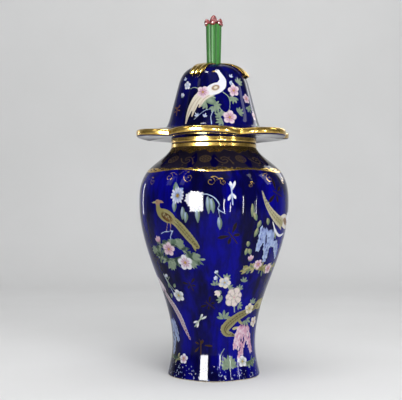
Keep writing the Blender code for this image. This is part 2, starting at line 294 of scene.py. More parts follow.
def lid_outline():
    """Outline of the lid from the crown of its hollow, out under the brim, and up the dome to the stem."""
    dome = dome_line()
    dome_share = 1 - DOME_GROOVE
    along = np.gradient(dome, axis=0)
    along /= np.hypot(*along.T)[:, None]
    hollow = dome + np.stack([-along[:, 1], along[:, 0]], axis=1) * LID_WALL
    hollow = hollow[hollow[:, 1] > COLLAR_HEIGHT + HOLLOW_START]
    hollow = paced(hollow[::-1], HOLLOW_ROW)
    throat = FLANGE_RADIUS - FLANGE_THICKNESS
    edge_high = BRIM_EDGE_LOW + BRIM_EDGE
    under_edge = BRIM_RADIUS - BRIM_TUCK
    width = under_edge - NECK_RADIUS
    drop = COLLAR_HEIGHT - BRIM_DROP
    under = bezier(
        (NECK_RADIUS + RIM_ROUND, COLLAR_HEIGHT),
        (NECK_RADIUS + width * 0.45, COLLAR_HEIGHT - BRIM_BELLY),
        (NECK_RADIUS + width * 0.92, drop - BRIM_BELLY),
        (under_edge, drop),
        22,
    )

    def below(r, z):
        reach = min(max((r - NECK_RADIUS) / (BRIM_RADIUS - NECK_RADIUS), 0), 1)
        return Point(r, z, 1 - reach * (1 - BRIM_NOTCH), BRIM_SAG * reach**2)

    def above(r, z):
        reach = min(max((r - DOME_FOOT_RADIUS) / (BRIM_RADIUS - DOME_FOOT_RADIUS), 0), 1)
        return Point(r, z, dome_share + reach * (BRIM_NOTCH - dome_share), BRIM_SAG * reach)

    inside = [(0, hollow[0][1])] + [tuple(place) for place in hollow]
    points = [Point(r, z, dome_share) for r, z in inside]
    points += [
        Point(r, z, 1) for r, z in (
            (throat, COLLAR_HEIGHT),
            (throat, 0),
            (throat, FINE_ROUND - FLANGE_DEPTH),
            (throat + FINE_ROUND, -FLANGE_DEPTH),
            (FLANGE_RADIUS - FINE_ROUND, -FLANGE_DEPTH),
            (FLANGE_RADIUS, FINE_ROUND - FLANGE_DEPTH),
            (FLANGE_RADIUS, 0),
            (NECK_RADIUS - RIM_ROUND, 0),
            (NECK_RADIUS - RIM_ROUND * 0.3, RIM_ROUND * 0.3),
            (NECK_RADIUS, RIM_ROUND),
            (NECK_RADIUS, NECK_RINGS[-1]),
            (NECK_RADIUS, COLLAR_GILT - GILT_SEAM),
            (NECK_RADIUS, COLLAR_GILT + GILT_SEAM),
            (NECK_RADIUS, COLLAR_HEIGHT - FINE_ROUND),
        )
    ]
    points += [below(r, z) for r, z in under]
    middle = BRIM_EDGE_LOW + BRIM_EDGE * 0.42
    lower_roll = bezier(
        (under_edge, drop),
        (BRIM_RADIUS - 0.0008, drop + 0.0003),
        (BRIM_RADIUS, middle - LOWER_ROLL),
        (BRIM_RADIUS, middle),
        6,
    )[1:]
    upper_roll = bezier(
        (BRIM_RADIUS, middle),
        (BRIM_RADIUS, middle + UPPER_ROLL),
        (BRIM_RADIUS - 0.0006, edge_high),
        (BRIM_RADIUS - BRIM_EDGE_ROUND, edge_high),
        7,
    )[1:]
    points += [Point(r, z, BRIM_NOTCH, BRIM_SAG) for r, z in (*lower_roll, *upper_roll)]
    top = bezier(
        (BRIM_RADIUS - BRIM_EDGE_ROUND, edge_high),
        (BRIM_RADIUS - 0.018, edge_high + 0.0010),
        (DOME_FOOT_RADIUS + 0.020, edge_high + BRIM_RISE - 0.0010),
        (DOME_FOOT_RADIUS, edge_high + BRIM_RISE),
        26,
    )[1:]
    points += [above(r, z) for r, z in top]
    points += [Point(r, z, dome_share) for r, z in paced(dome, LID_ROW)[1:]]
    points.append(Point(0, dome[-1][1], dome_share))
    return [point._replace(z=point.z + SEAT) for point in points]


def start_from_nothing():
    bpy.ops.object.select_all(action="DESELECT")


def pick(thing):
    start_from_nothing()
    thing.select_set(True)
    bpy.context.view_layer.objects.active = thing


def values_of(items, name, width=1, kind=float):
    """One named value of each of a mesh's points, corners or faces."""
    flat = np.empty(len(items) * width, kind)
    items.foreach_get(name, flat)
    return flat.reshape(-1, width) if width > 1 else flat


def coordinates(mesh):
    return values_of(mesh.vertices, "co", 3)


def put_coordinates(mesh, places):
    mesh.vertices.foreach_set("co", np.ascontiguousarray(places, float).ravel())
    mesh.update()


def turned(name, outline, sides):
    """A skin turned on the vase's axis from its outline, as on a potter's wheel."""
    start_from_nothing()
    first = outline[0]
    bpy.ops.mesh.primitive_plane_add(size=MM, location=(first.radius, 0, first.z))
    thing = bpy.context.object
    thing.name = name
    bpy.ops.object.transform_apply(location=True, rotation=True, scale=True)
    bpy.ops.object.mode_set(mode="EDIT")
    bpy.ops.mesh.select_mode(type="VERT")
    bpy.ops.mesh.select_all(action="SELECT")
    bpy.ops.mesh.merge(type="CENTER")
    for before, after in zip(outline, outline[1:]):
        step = (after.radius - before.radius, 0, after.z - before.z)
        bpy.ops.mesh.extrude_region_move(TRANSFORM_OT_translate={"value": step})
    bpy.ops.mesh.select_all(action="SELECT")
    bpy.ops.mesh.spin(steps=sides, angle=2 * math.pi, center=(0, 0, 0), axis=(0, 0, 1))
    bpy.ops.mesh.select_all(action="SELECT")
    bpy.ops.mesh.remove_doubles(threshold=0.00002)
    bpy.ops.mesh.normals_make_consistent(inside=False)
    bpy.ops.object.mode_set(mode="OBJECT")
    return thing


def refine(thing, cuts):
    """Cuts the faces that are marked for that many cuts into smaller ones."""
    mesh = thing.data
    marks = values_of(mesh.attributes["cuts"].data, "value", kind=np.int32)
    pick(thing)
    bpy.ops.object.mode_set(mode="EDIT")
    bpy.ops.mesh.select_mode(type="FACE")
    bpy.ops.mesh.select_all(action="DESELECT")
    bpy.ops.object.mode_set(mode="OBJECT")
    mesh.polygons.foreach_set("select", marks == cuts)
    bpy.ops.object.mode_set(mode="EDIT")
    bpy.ops.mesh.subdivide(number_cuts=cuts, smoothness=0, ngon=True, quadcorner="STRAIGHT_CUT")
    bpy.ops.object.mode_set(mode="OBJECT")


def press_lobes(thing, outline):
    """Presses the grooves between the lobes into a turned skin, as deep as its outline says."""
    tree = KDTree(len(outline))
    for index, point in enumerate(outline):
        tree.insert((point.radius, point.z, 0), index)
    tree.balance()
    places = coordinates(thing.data)
    nearest = [outline[tree.find((r, z, 0))[1]] for r, z in zip(out_from_axis(places), places[:, 2])]
    share = np.array([point.notch for point in nearest])
    lobes = lobed(share, round_from_front(places))
    places[:, :2] *= lobes[:, None]
    places[:, 2] -= np.array([point.sag for point in nearest]) * (1 - lobes) / np.maximum(1 - share, MM)
    put_coordinates(thing.data, places)


def smooth(thing, degrees=35):
    pick(thing)
    bpy.ops.object.shade_smooth_by_angle(angle=math.radians(degrees))


def face_middles(mesh):
    return values_of(mesh.polygons, "center", 3)


# Painting. Places on the skin are degrees round from the front and millimetres of height, and a motif's
# own x and y are millimetres across and up from there.
EDGE = 2.0
TINT_EDGE = 1.1
REACH = 2.2
PETALS = 5
COLLAR_FOOT = 369.5
NECK_GILT = 404.5


def ink(red, green, blue):
    """A colour as it shows, from 0 to 255, as the linear values that a shader takes."""
    return np.array([((c / 255 + 0.055) / 1.055) ** 2.4 if c > 10 else c / 255 / 12.92 for c in (red, green, blue)])


WHITE = ink(238, 238, 246)
CREAM = ink(234, 226, 208)
BLUSH = ink(232, 212, 222)
PINK = ink(196, 116, 154)
ROSE = ink(158, 68, 102)
SKY = ink(136, 166, 222)
MIST = ink(182, 200, 234)
LILAC = ink(118, 132, 198)
LEAF = ink(106, 128, 104)
PALE_LEAF = ink(158, 174, 150)
DEEP_LEAF = ink(56, 78, 70)
OLIVE = ink(152, 146, 92)
PALE_OLIVE = ink(190, 184, 136)
TAN = ink(170, 138, 112)
UMBER = ink(62, 44, 30)
BROWN_GOLD = ink(106, 74, 34)
DULL_GOLD = ink(84, 68, 42)
YELLOW = ink(208, 170, 64)
NIGHT = ink(18, 15, 24)
DEEP_BLUE = ink(12, 8, 92)


class Painting:
    """Enamel and gilding over a skin: a colour and how far enamel and gold cover it, at each point.

    The rises say how far up the skin's own curve each of the heights lies, so that motifs keep their shape there.
    """

    def __init__(self, places, heights, rises):
        self.heights = heights
        self.rises = rises
        self.angle = np.degrees(round_from_front(places))
        self.girth = out_from_axis(places) / MM
        self.height = places[:, 2] / MM
        self.rise = np.interp(self.height, heights, rises)
        count = len(places)
        self.colour = np.zeros((count, 3))
        self.cover = np.zeros(count)
        self.gilt = np.zeros(count)
        self.near = np.zeros(count, bool)
        self.open = np.ones(count, bool)

    def at(self, angle, height, turn=0, size=1, reach=70, flip=False):
        return Sheet(self, angle, height, turn, size, reach, flip)

    def band(self, low, high):
        """The skin between two heights as one sheet, whose x is degrees and whose y is height."""
        sheet = Sheet(self, 0, 0, 0, 1, 0, False)
        sheet.points = np.flatnonzero(self.open & (self.height > low) & (self.height < high))
        sheet.x = self.angle[sheet.points]
        sheet.y = self.height[sheet.points]
        return sheet


class Sheet:
    """The skin round one place, laid flat to be painted on."""

    def __init__(self, painting, angle, height, turn, size, reach, flip):
        self.painting = painting
        self.size = size
        x = np.radians((painting.angle - angle + 180) % 360 - 180) * painting.girth
        y = painting.rise - np.interp(height, painting.heights, painting.rises)
        self.points = np.flatnonzero((abs(x) < reach * size) & (abs(y) < reach * size) & painting.open)
        x = x[self.points]
        y = y[self.points]
        c, s = math.cos(math.radians(turn)), math.sin(math.radians(turn))
        self.x = (x * c + y * s) / size * (-1 if flip else 1)
        self.y = (y * c - x * s) / size

    def lay(self, inside, colour, gold=False):
        """Lays colour where a shape's depth, in millimetres from its edge inwards, is above nought."""
        painting = self.painting
        touched = inside > -REACH
        points = self.points[touched]
        inside = inside[touched] * self.size
        painting.near[points] = True
        amount = np.clip(inside / EDGE + 0.5, 0, 1)
        if gold:
            painting.gilt[points] = np.maximum(painting.gilt[points], amount)
            return
        tint = np.clip(inside / TINT_EDGE + 0.5, 0, 1)
        halo = np.clip(inside / EDGE + 1.5, 0, 1)
        cover = painting.cover[points]
        mix = np.maximum(tint, halo * (1 - cover))[:, None]
        if np.ndim(colour) == 2:
            colour = colour[touched]
        painting.colour[points] += (colour - painting.colour[points]) * mix
        painting.cover[points] = np.maximum(cover, amount)
        painting.gilt[points] *= 1 - amount

    def blade(self, root, tip, width, colour, tip_colour=None, bow=0, fullest=0.5, blunt=1.0):
        """A leaf or feather from its root to its tip, widest at a share of its length."""
        dx, dy = tip[0] - root[0], tip[1] - root[1]
        length = math.hypot(dx, dy)
        ux, uy = dx / length, dy / length
        x, y = self.x - root[0], self.y - root[1]
        along = (x * ux + y * uy) / length
        across = x * uy - y * ux - bow * length * 4 * along * (1 - along)
        t = np.clip(along, 0, 1)
        half = width / 2 * np.sin(math.pi * t ** (math.log(0.5) / math.log(fullest))) ** blunt
        inside = half - abs(across) - length * abs(along - t)
        if tip_colour is not None:
            colour = colour + (tip_colour - colour) * t[:, None]
        self.lay(inside, colour)

    def line(self, places, widths, colour, gold=False):
        """A brush line smoothly through places, as wide as the widths say along it."""
        places = eased(places)
        widths = np.interp(np.linspace(0, 1, len(places)), np.linspace(0, 1, np.size(widths)), np.atleast_1d(widths))
        inside = np.full(len(self.x), -1e3)
        for (ax, ay), (bx, by), w in zip(places, places[1:], widths):
            dx, dy = bx - ax, by - ay
            square = dx * dx + dy * dy or 1e-9
            t = np.clip(((self.x - ax) * dx + (self.y - ay) * dy) / square, 0, 1)
            away = np.hypot(self.x - ax - t * dx, self.y - ay - t * dy)
            inside = np.maximum(inside, w / 2 - away)
        self.lay(inside, colour, gold)

    def oval(self, x, y, length, width=None, colour=None, degrees=0, heart=None, gold=False):
        """A round or oval dab, lying along a direction, with a heart colour that fades towards its edge."""
        width = length if width is None else width
        c, s = math.cos(math.radians(degrees)), math.sin(math.radians(degrees))
        u = (self.x - x) * c + (self.y - y) * s
        v = (self.y - y) * c - (self.x - x) * s
        away = np.hypot(u / (length / 2), v / (width / 2))
        if heart is not None:
            colour = heart + (colour - heart) * np.clip(away, 0, 1)[:, None] ** 0.8
        self.lay((1 - away) * min(length, width) / 2, colour, gold)


def eased(places, count=5):
    """A line smoothed through its places."""
    places = [np.asarray(place, float) for place in places]
    if len(places) < 3:
        return places
    padded = [2 * places[0] - places[1]] + places + [2 * places[-1] - places[-2]]
    out = []
    for a, b, c, d in zip(padded, padded[1:], padded[2:], padded[3:]):
        for t in np.arange(count) / count:
            out.append(0.5 * (2 * b + (c - a) * t + (2 * a - 5 * b + 4 * c - d) * t**2
                              + (3 * b - a - 3 * c + d) * t**3))
    return out + [places[-1]]


def toward(x, y, degrees, distance):
    turn = math.radians(degrees)
    return x + distance * math.cos(turn), y + distance * math.sin(turn)


def leaf(sheet, root, tip, width, colour, pale):
    """A drooping leaf with one pale side."""
    sheet.blade(root, tip, width, colour, fullest=0.45)
    side = width * 0.22 if tip[1] > root[1] else -width * 0.22
    sheet.blade((root[0] + side, root[1]), (tip[0] + side * 0.4, tip[1]), width * 0.5, pale, colour, fullest=0.4)


def leaves(sheet, ends, width, colour=LEAF, pale=PALE_LEAF):
    for root, tip in ends:
        leaf(sheet, root, tip, width, colour, pale)


def palm(sheet, x, y, length, degrees, count=5, spread=150, colour=LEAF, pale=PALE_LEAF):
    """A fan of narrow pointed leaflets."""
    for index in range(count):
        share = index / (count - 1) - 0.5
        reach = length * (1.08 - 0.5 * abs(share))
        tone = colour if index % 2 else pale
        sheet.blade((x, y), toward(x, y, degrees + spread * share, reach), length * 0.27, tone,
                    pale if index % 2 else colour, fullest=0.6)


def palms(sheet, places, length, count, spread, colour=LEAF, pale=PALE_LEAF):
    for x, y, degrees in places:
        palm(sheet, x, y, length, degrees, count, spread, colour, pale)


def blossom(sheet, x, y, radius, rim=WHITE, heart=PINK, turn=90, centre=YELLOW):
    """An open flower of separate round petals, flushed towards the heart, round a ring of stamens."""
    width = radius * 2.3 * math.sin(math.pi / PETALS)
    for index in range(PETALS):
        degrees = turn + 360 * index / PETALS
        px, py = toward(x, y, degrees, radius * 0.56)
        sheet.oval(px, py, radius * 0.92, width * 0.62, rim, degrees)
        px, py = toward(x, y, degrees, radius * 0.44)
        sheet.oval(px, py, radius * 0.66, width * 0.38, rim, degrees, heart=heart)
    for index in range(PETALS):
        degrees = turn + 360 * (index + 0.5) / PETALS
        sheet.line([(x, y), toward(x, y, degrees, radius * 0.62)], [1.3, 0.9], heart * 0.6)
    sheet.oval(x, y, radius * 0.46, None, heart * 0.65)
    sheet.oval(x, y, radius * 0.30, None, centre)


def peony(sheet, x, y, radius, rim=CREAM, heart=BLUSH):
    """A full flower with two rings of petals."""
    for ring, (petals, share) in enumerate(((7, 1.0), (5, 0.64))):
        for index in range(petals):
            degrees = 20 + ring * 25 + 360 * index / petals
            reach = radius * share * (0.92 + 0.08 * (index * 5 % 3))
            px, py = toward(x, y, degrees, reach * 0.66)
            sheet.oval(px, py, reach * 0.76, reach * 0.84, heart * 0.5, degrees)
            px, py = toward(x, y, degrees, reach * 0.70)
            sheet.oval(px, py, reach * 0.64, reach * 0.64, rim, degrees, heart=heart)
    sheet.oval(x, y, radius * 0.40, None, rim, heart=PINK)


def daisy(sheet, x, y, radius, petal=SKY, tip=WHITE, petals=13, centre=YELLOW, flat=1.0):
    """A many petalled daisy."""
    sheet.oval(x, y, radius * 1.5, radius * 1.5 * flat, petal * 0.4)
    for index in range(petals):
        degrees = 360 * index / petals
        ex, ey = toward(0, 0, degrees, radius * (1.06 if index % 2 else 0.96))
        sheet.blade((x, y), (x + ex, y + ey * flat), radius * 0.29, petal, tip, fullest=0.72, blunt=0.8)
    sheet.oval(x, y, radius * 0.52, radius * 0.52 * flat, BROWN_GOLD)
    sheet.oval(x, y, radius * 0.38, radius * 0.38 * flat, centre)
    sheet.oval(x, y, radius * 0.16, radius * 0.16 * flat, UMBER)


def bud(sheet, x, y, length, degrees, petal=BLUSH, heart=PINK):
    """A half open bud in its green cup."""
    for spread in (-26, 26, 0):
        sheet.blade((x, y), toward(x, y, degrees + spread, length * (0.9 if spread else 1.0)), length * 0.36,
                    heart, petal, fullest=0.62)
    for spread in (-50, 50):
        sheet.blade((x, y), toward(x, y, degrees + spread, length * 0.45), length * 0.18, LEAF)


def raceme(sheet, places, width, colour, pale, dice):
    """A hanging cluster of small petals along a line, broad above and pointed below."""
    line = eased(places, 7)
    for index, (x, y) in enumerate(line):
        share = index / (len(line) - 1)
        spread = width * 0.52 * (1 - 0.8 * share)
        for side in (-1, 1, 0):
            length = dice.uniform(8, 12) * (1 - 0.3 * share)
            px = x + side * spread + dice.uniform(-1, 1)
            py = y + length / 2 + dice.uniform(-2, 2)
            tone = (pale, colour, colour * 0.85, colour)[dice.randrange(4)]
            sheet.blade((px, py), (px + side * length * 0.35, py - length), length * 0.46, tone, pale, fullest=0.6)


def foliage(sheet, outline, dice, count, length, colours=(LEAF, PALE_LEAF, DEEP_LEAF)):
    """A bank of pointed leaves along a line, fanning out from it."""
    line = eased(outline, 8)
    middle = np.mean(line, axis=0)
    sheet.line(outline, [length * 0.3, length * 0.8, length * 0.3], colours[2] * 0.7)
    for index in range(count):
        x, y = line[dice.randrange(len(line))] + np.array([dice.uniform(-4, 4), dice.uniform(-3, 3)])
        outwards = math.degrees(math.atan2(y - middle[1], x - middle[0]))
        degrees = outwards + dice.uniform(-80, 80)
        reach = length * dice.uniform(0.6, 1.15)
        tone = colours[index % len(colours)]
        bow = dice.uniform(-0.12, 0.12)
        sheet.blade((x, y), toward(x, y, degrees, reach), reach * 0.32, tone * 0.8, tone, bow=bow)


def insect(sheet, length, wing=WHITE, body=WHITE, spreads=((48, 0.62), (132, 0.62), (-18, 0.5), (198, 0.5))):
    """A slim winged insect with its head up at y."""
    for degrees, reach in spreads:
        tip = toward(0, length * 0.1, degrees, length * reach)
        sheet.blade((0, length * 0.1), tip, length * 0.12, wing, fullest=0.68)
    sheet.line([(0, length * 0.3), (0, -length * 0.42)], [2.2, 1.4], body)
    for side in (-1, 1):
        sheet.line([(0, length * 0.3), (side * length * 0.12, length * 0.46)], 1.0, body)


def moth(sheet, length, wing, edge):
    """A slender moth with its head up at y, its wings dark within their outlines."""
    for side in (-1, 1):
        for degrees, reach, wide in ((30, 0.66, 0.17), (-34, 0.44, 0.15)):
            tip = toward(0, length * 0.08, 90 + side * (90 - degrees), length * reach)
            sheet.blade((0, length * 0.08), tip, length * wide, edge, fullest=0.64)
            sheet.blade((0, length * 0.08), tip, length * wide * 0.45, wing, fullest=0.64)
    sheet.line([(0, length * 0.26), (0, -length * 0.40)], [2.0, 1.2], edge)
    for side in (-1, 1):
        sheet.line([(0, length * 0.26), (side * length * 0.12, length * 0.44)], 0.9, edge)


def volute(sheet, radius, flip):
    """A gilt scroll that sweeps in from one side and winds in towards its eye."""
    places = [(-flip * radius * 1.9, radius * 0.5), (-flip * radius * 0.9, radius * 1.15)]
    for index in range(16):
        share = index / 15
        degrees = 90 + flip * 360 * 1.15 * share
        places.append(toward(0, 0, degrees, radius * (1 - 0.74 * share)))
    sheet.line(places, [1.0, 1.2, 1.0], None, gold=True)
    sheet.oval(0, 0, 1.6, None, gold=True)


def plume(sheet, places, widths, colour, edge, marks, forks=()):
    """A long barred tail with pale barbs along both sides, whose feathers part at the end."""
    sheet.line(places, [w * 0.8 for w in widths], colour * 0.8)
    for tip in forks:
        sheet.blade(places[-2], tip, widths[-2] * 0.55, colour * 0.8, colour, fullest=0.4)
    line = eased(places, 6)
    for index in range(len(line) - 2, 0, -1):
        (ax, ay), (bx, by) = line[index], line[index + 1]
        turn = math.degrees(math.atan2(by - ay, bx - ax))
        wide = float(np.interp(index / len(line), np.linspace(0, 1, len(widths)), widths))
        tone = colour * (0.6 if index % 2 else 1.0)
        for side in (-1, 1):
            root = toward(ax, ay, turn + side * 90, wide * 0.16)
            sheet.blade(root, toward(*root, turn + side * 30, wide * 0.8), wide * 0.22, tone, (tone + edge) / 2,
                        fullest=0.55)
            if index % 2:
                px, py = toward(ax, ay, turn + side * 90, wide * 0.18)
                sheet.oval(px, py, 3.8, 2.2, marks, turn + side * 35)
    sheet.line(places[:-1], 1.0, edge * 0.7)


def pheasant(sheet):
    """An olive bird that looks to -x over its long tail, its body about the origin."""
    plume(sheet, [(12, -4), (26, -16), (38, -29), (49, -43), (58, -56)], [12, 14.5, 14, 11, 4], OLIVE, PALE_OLIVE,
          UMBER, [(53, -64)])
    for leg in ([(5, -10), (3, -19), (0, -27)], [(11, -10), (10, -19), (9, -26)]):
        sheet.line(leg, 1.5, TAN)
    sheet.oval(3, -1, 38, 22, OLIVE, -24, heart=PALE_OLIVE)
    sheet.line([(-8, 3), (-14, 11), (-15, 20)], [15, 9, 8], OLIVE)
    sheet.oval(-15.5, 22.5, 12, 10, TAN)
    sheet.blade((-20, 23), (-32, 21.5), 3.2, PALE_OLIVE, fullest=0.25)
    sheet.blade((-13, 25), (-1, 22), 4.4, TAN, fullest=0.4)
    sheet.oval(-17, 23.4, 2.0, None, UMBER)
    sheet.oval(4, -3, 26, 13, BROWN_GOLD * 0.7, -30)
    for index in range(8):
        px, py = toward(4, -3, -30 + 180 * (index % 2), 2.2 * (index // 2) + 1)
        sheet.oval(px, py + (index % 3 - 1) * 3, 3.6, 2.0, PALE_OLIVE if index % 3 else BROWN_GOLD * 1.8, -50)
    for shift in (0, 3.4):
        sheet.blade((10 - shift, -4 - shift), (26 - shift, -15 - shift * 1.2), 4.0, BROWN_GOLD, PALE_OLIVE,
                    fullest=0.4)


def paint_front_left(painting):
    dice = random.Random(11)
    sheet = painting.at(-28, 326)
    leaf(sheet, (-3, 5), (-6, 24), 11, LEAF, MIST)
    leaf(sheet, (3, 6), (11, 13), 9, SKY, MIST)
    leaf(sheet, (-6, -8), (-7, -29), 9, LEAF, MIST)
    daisy(sheet, 0, 0, 14)
    sheet = painting.at(-15, 320)
    leaves(sheet, (((-20, -13), (-22, -36)), ((-14, -22), (-16, -41)), ((6, -14), (7, -41)), ((25, 5), (26, -26)),
                   ((31, 2), (34, -25)), ((44, -30), (44, -53))), 8.5, LEAF, MIST)
    sheet.line([(14, 8), (24, 8), (36, 2), (44, -9), (42, -17), (55, -25)], [1.7, 1.7, 1.3], MIST)
    sheet.line([(43, -17), (44, -30)], 1.4, MIST)
    daisy(sheet, 0, 0, 17, WHITE, WHITE, 17, TAN, 0.86)

    pheasant(painting.at(-39, 292, reach=120))
    perch = painting.at(-39, 292)
    perch.line([(-12, -32), (-4, -29), (14, -27)], [1.8, 1.5], MIST)
    perch.line([(13, -27), (7, -38), (9, -47)], [1.8, 1.4], MIST)
    bank = painting.at(-37, 222, reach=90)
    foliage(bank, [(-36, 6), (-22, -4), (-6, -10), (16, -6), (30, -2), (48, -3)], dice, 100, 13)
    foliage(bank, [(-30, 14), (-14, 20), (6, 22), (20, 16), (30, 6)], dice, 60, 12)
    palms(bank, ((18, 14, 80), (-4, -14, 250), (40, -2, 10), (34, -10, -50), (-38, 6, 150), (22, 18, 110)),
          15, 5, 90)
    bud(bank, -25, 22, 15, 112)
    blossom(bank, -6, 12, 12.5, BLUSH, PINK, 80)
    blossom(bank, 23, -12, 14.5, WHITE, PINK, 95)
    bank.line([(-34, -38), (-24, -60), (-14, -84)], 1.3, MIST)


def paint_front_right(painting):
    dice = random.Random(23)
    fly = painting.at(12, 328, turn=4)
    insect(fly, 42, WHITE, MIST, ((66, 0.50), (92, 0.46), (-62, 0.34), (-118, 0.40)))
    sheet = painting.at(45, 257, reach=110)
    leaves(sheet, (((-40, 56), (-40, 32)), ((-36, 41), (-30, 26)), ((-21, 27), (-27, 13)), ((-25, 14), (-30, -3)),
                   ((-6, 31), (-4, 18)), ((17, 12), (22, -8)), ((-41, -9), (-39, -20)), ((-40, -22), (-41, -35)),
                   ((-35, -23), (-30, -34))), 8, LEAF, PALE_OLIVE)
    for places, width in (([(-12, 12), (-14, -6), (-18, -25)], 9), ([(-2, 6), (2, -22), (4, -47)], 11),
                          ([(8, 8), (10, -8), (9, -20)], 9), ([(22, -12), (32, -24), (40, -40)], 10)):
        raceme(sheet, places, width, LILAC, MIST, dice)
    bird = painting.at(45, 302, reach=130)
    bird.oval(52, -22, 48, 25, CREAM, -16, heart=WHITE)
    bird.line([(66, -16), (80, -4), (86, 10)], [16, 9, 8], WHITE)
    bird.oval(87, 14, 12, 10, BLUSH)
    bird.blade((92, 15), (104, 13), 3, PALE_OLIVE, fullest=0.25)
    bird.oval(89, 15, 2, None, UMBER)
    plume(bird, [(-20, 32), (-14, 16), (-3, 0), (14, -14), (34, -24)], [2.5, 7, 12, 17, 20], PALE_OLIVE, CREAM, UMBER)
    bird.line([(7, -22), (18, -38), (34, -47), (54, -44)], [2, 5, 3], WHITE)
    bird.oval(54, -22, 26, 12, TAN, -20, heart=BROWN_GOLD)
    bank = painting.at(44, 199, reach=90)
    foliage(bank, [(-28, -2), (-8, 3), (16, -2), (40, 2)], dice, 100, 12, (LEAF, PALE_OLIVE, OLIVE))
    bud(bank, -25, 14, 13, 96)
    blossom(bank, -6, 8, 9, BLUSH, PINK, 60)
    blossom(bank, 25, -2, 10, BLUSH, PINK)


def paint_front_low(painting):
    dice = random.Random(37)
    spray = painting.at(10, 175, reach=90)
    spray.line([(-18, 20), (-8, 10), (2, -2), (10, -14), (18, -28), (22, -56)], [1.4, 1.8, 2.2], PALE_LEAF)
    palms(spray, ((-17, -5, 95), (6, -10, 20), (28, -14, 70), (36, 0, 80), (-3, -32, 160), (28, -44, -20),
                  (0, 8, 60)), 12, 4, 110)
    bud(spray, -15, 18, 8, 120, WHITE, MIST)
    bud(spray, -13, 9, 9, 165, WHITE, MIST)
    bud(spray, -6, -15, 14, 215, CREAM, BLUSH)
    blossom(spray, -1, 1, 11, CREAM, MIST, 70)
    peony(spray, 19, -28, 17)
    palm(painting.at(11, 110), 0, 0, 17, 90, 5, 140)

    bird = painting.at(25, 105, reach=120)
    bird.oval(64, 28, 40, 20, OLIVE, 8, heart=PALE_OLIVE)
    bird.line([(78, 32), (88, 42), (88, 52)], [12, 8, 7], OLIVE)
    bird.oval(89, 55, 11, 9, TAN)
    bird.blade((93, 56), (103, 54), 3, PALE_OLIVE, fullest=0.25)
    plume(bird, [(56, 26), (34, 19), (14, 11), (0, 3), (-11, -6), (-15, -13), (-12, -20), (-3, -24), (7, -27)],
          [8, 11, 14, 16, 15, 12, 9, 5, 1.5], OLIVE * 0.8, PALE_OLIVE, UMBER)
    bird.blade((8, 3), (21, -9), 5, OLIVE * 0.8, PALE_OLIVE, fullest=0.4)
    bird.blade((-2, -14), (16, -11), 5, PALE_OLIVE, fullest=0.3)
    palm(bird, 25, 1, 15, -60)
    palm(bird, 36, 30, 13, 70, 4, 100)
    blossom(bird, 31, 22, 10, CREAM, PALE_OLIVE)
    blossom(bird, 49, -5, 10, CREAM, BLUSH, 60)
    hanging = painting.at(41, 91, reach=80)
    for places, width in (([(-4, 0), (-12, -16), (-17, -33)], 9), ([(0, 2), (-2, -26), (-7, -51)], 12),
                          ([(4, 0), (14, -20), (23, -43)], 10)):
        raceme(hanging, places, width, PINK, BLUSH, dice)
    foliage(hanging, [(-6, -60), (12, -64), (34, -58)], dice, 26, 10, (PALE_LEAF, LEAF, LEAF))
    palm(hanging, -30, -66, 20, 95, 9, 190, LEAF, PALE_LEAF)
    palm(hanging, -30, -62, 12, 270, 5, 150, LEAF, PALE_LEAF)
    blossom(hanging, -2, -59, 10, WHITE, PALE_LEAF)
    hanging.line([(-46, -60), (-45, -46), (-38, -34)], 1.3, PALE_LEAF)


def paint_left_low(painting):
    dice = random.Random(41)
    bird = painting.at(-45, 109, reach=130)
    bird.oval(-44, 60, 40, 19, BLUSH, -42, heart=WHITE)
    bird.line([(-56, 70), (-64, 80), (-66, 90)], [12, 8, 7], WHITE)
    bird.oval(-67, 92, 11, 9, PINK)
    bird.blade((-71, 92), (-80, 90), 3, PALE_OLIVE, fullest=0.25)
    plume(bird, [(-36, 50), (-26, 36), (-14, 22), (-6, 9), (0, -3), (6, -19), (15, -38)],
          [9, 10, 10, 9, 8, 6, 2], BLUSH * 0.8, WHITE, ROSE * 0.7)
    for places in ([(-18, 84), (-8, 62), (2, 50)], [(-12, 70), (-4, 78)]):
        bird.line(places, 1.4, PALE_LEAF)
    leaves(bird, (((-9, 66), (-14, 56)), ((0, 58), (5, 66)), ((-11, 46), (-14, 36))), 6)
    bud(bird, -9, 76, 9, 120, WHITE, MIST)
    blossom(bird, 6, 43, 11.5, WHITE, PALE_LEAF, 30)
    hanging = painting.at(-61, 79, reach=80)
    for places, width in (([(-6, 24), (2, 8), (8, -10)], 9), ([(-8, 18), (-8, -10), (-9, -36)], 11)):
        raceme(hanging, places, width, LILAC, MIST, dice)
    foliage(hanging, [(-14, -42), (4, -44), (18, -44)], dice, 20, 9, (LEAF, PALE_OLIVE, DEEP_LEAF))
    blossom(hanging, 24, -43, 9)
    insect(painting.at(-20, 105, turn=-40), 30, WHITE, PALE_LEAF, ((70, 0.56), (100, 0.50), (242, 0.45), (288, 0.5)))
    insect(painting.at(-18, 60), 31, BROWN_GOLD * 0.35, BROWN_GOLD * 0.45,
           ((-2, 0.72), (228, 0.62), (157, 0.42), (60, 0.34)))


def paint_dark_moths(painting):
    """Faint insects, half sunk in the glaze."""
    for angle, height, turn, length in ((13, 256, 40, 38), (-5, 136, 50, 26), (-24, 170, 20, 26), (52, 330, 70, 42),
                                        (-58, 214, 30, 22)):
        moth(painting.at(angle, height, turn=turn), length, NIGHT, UMBER * 0.7)


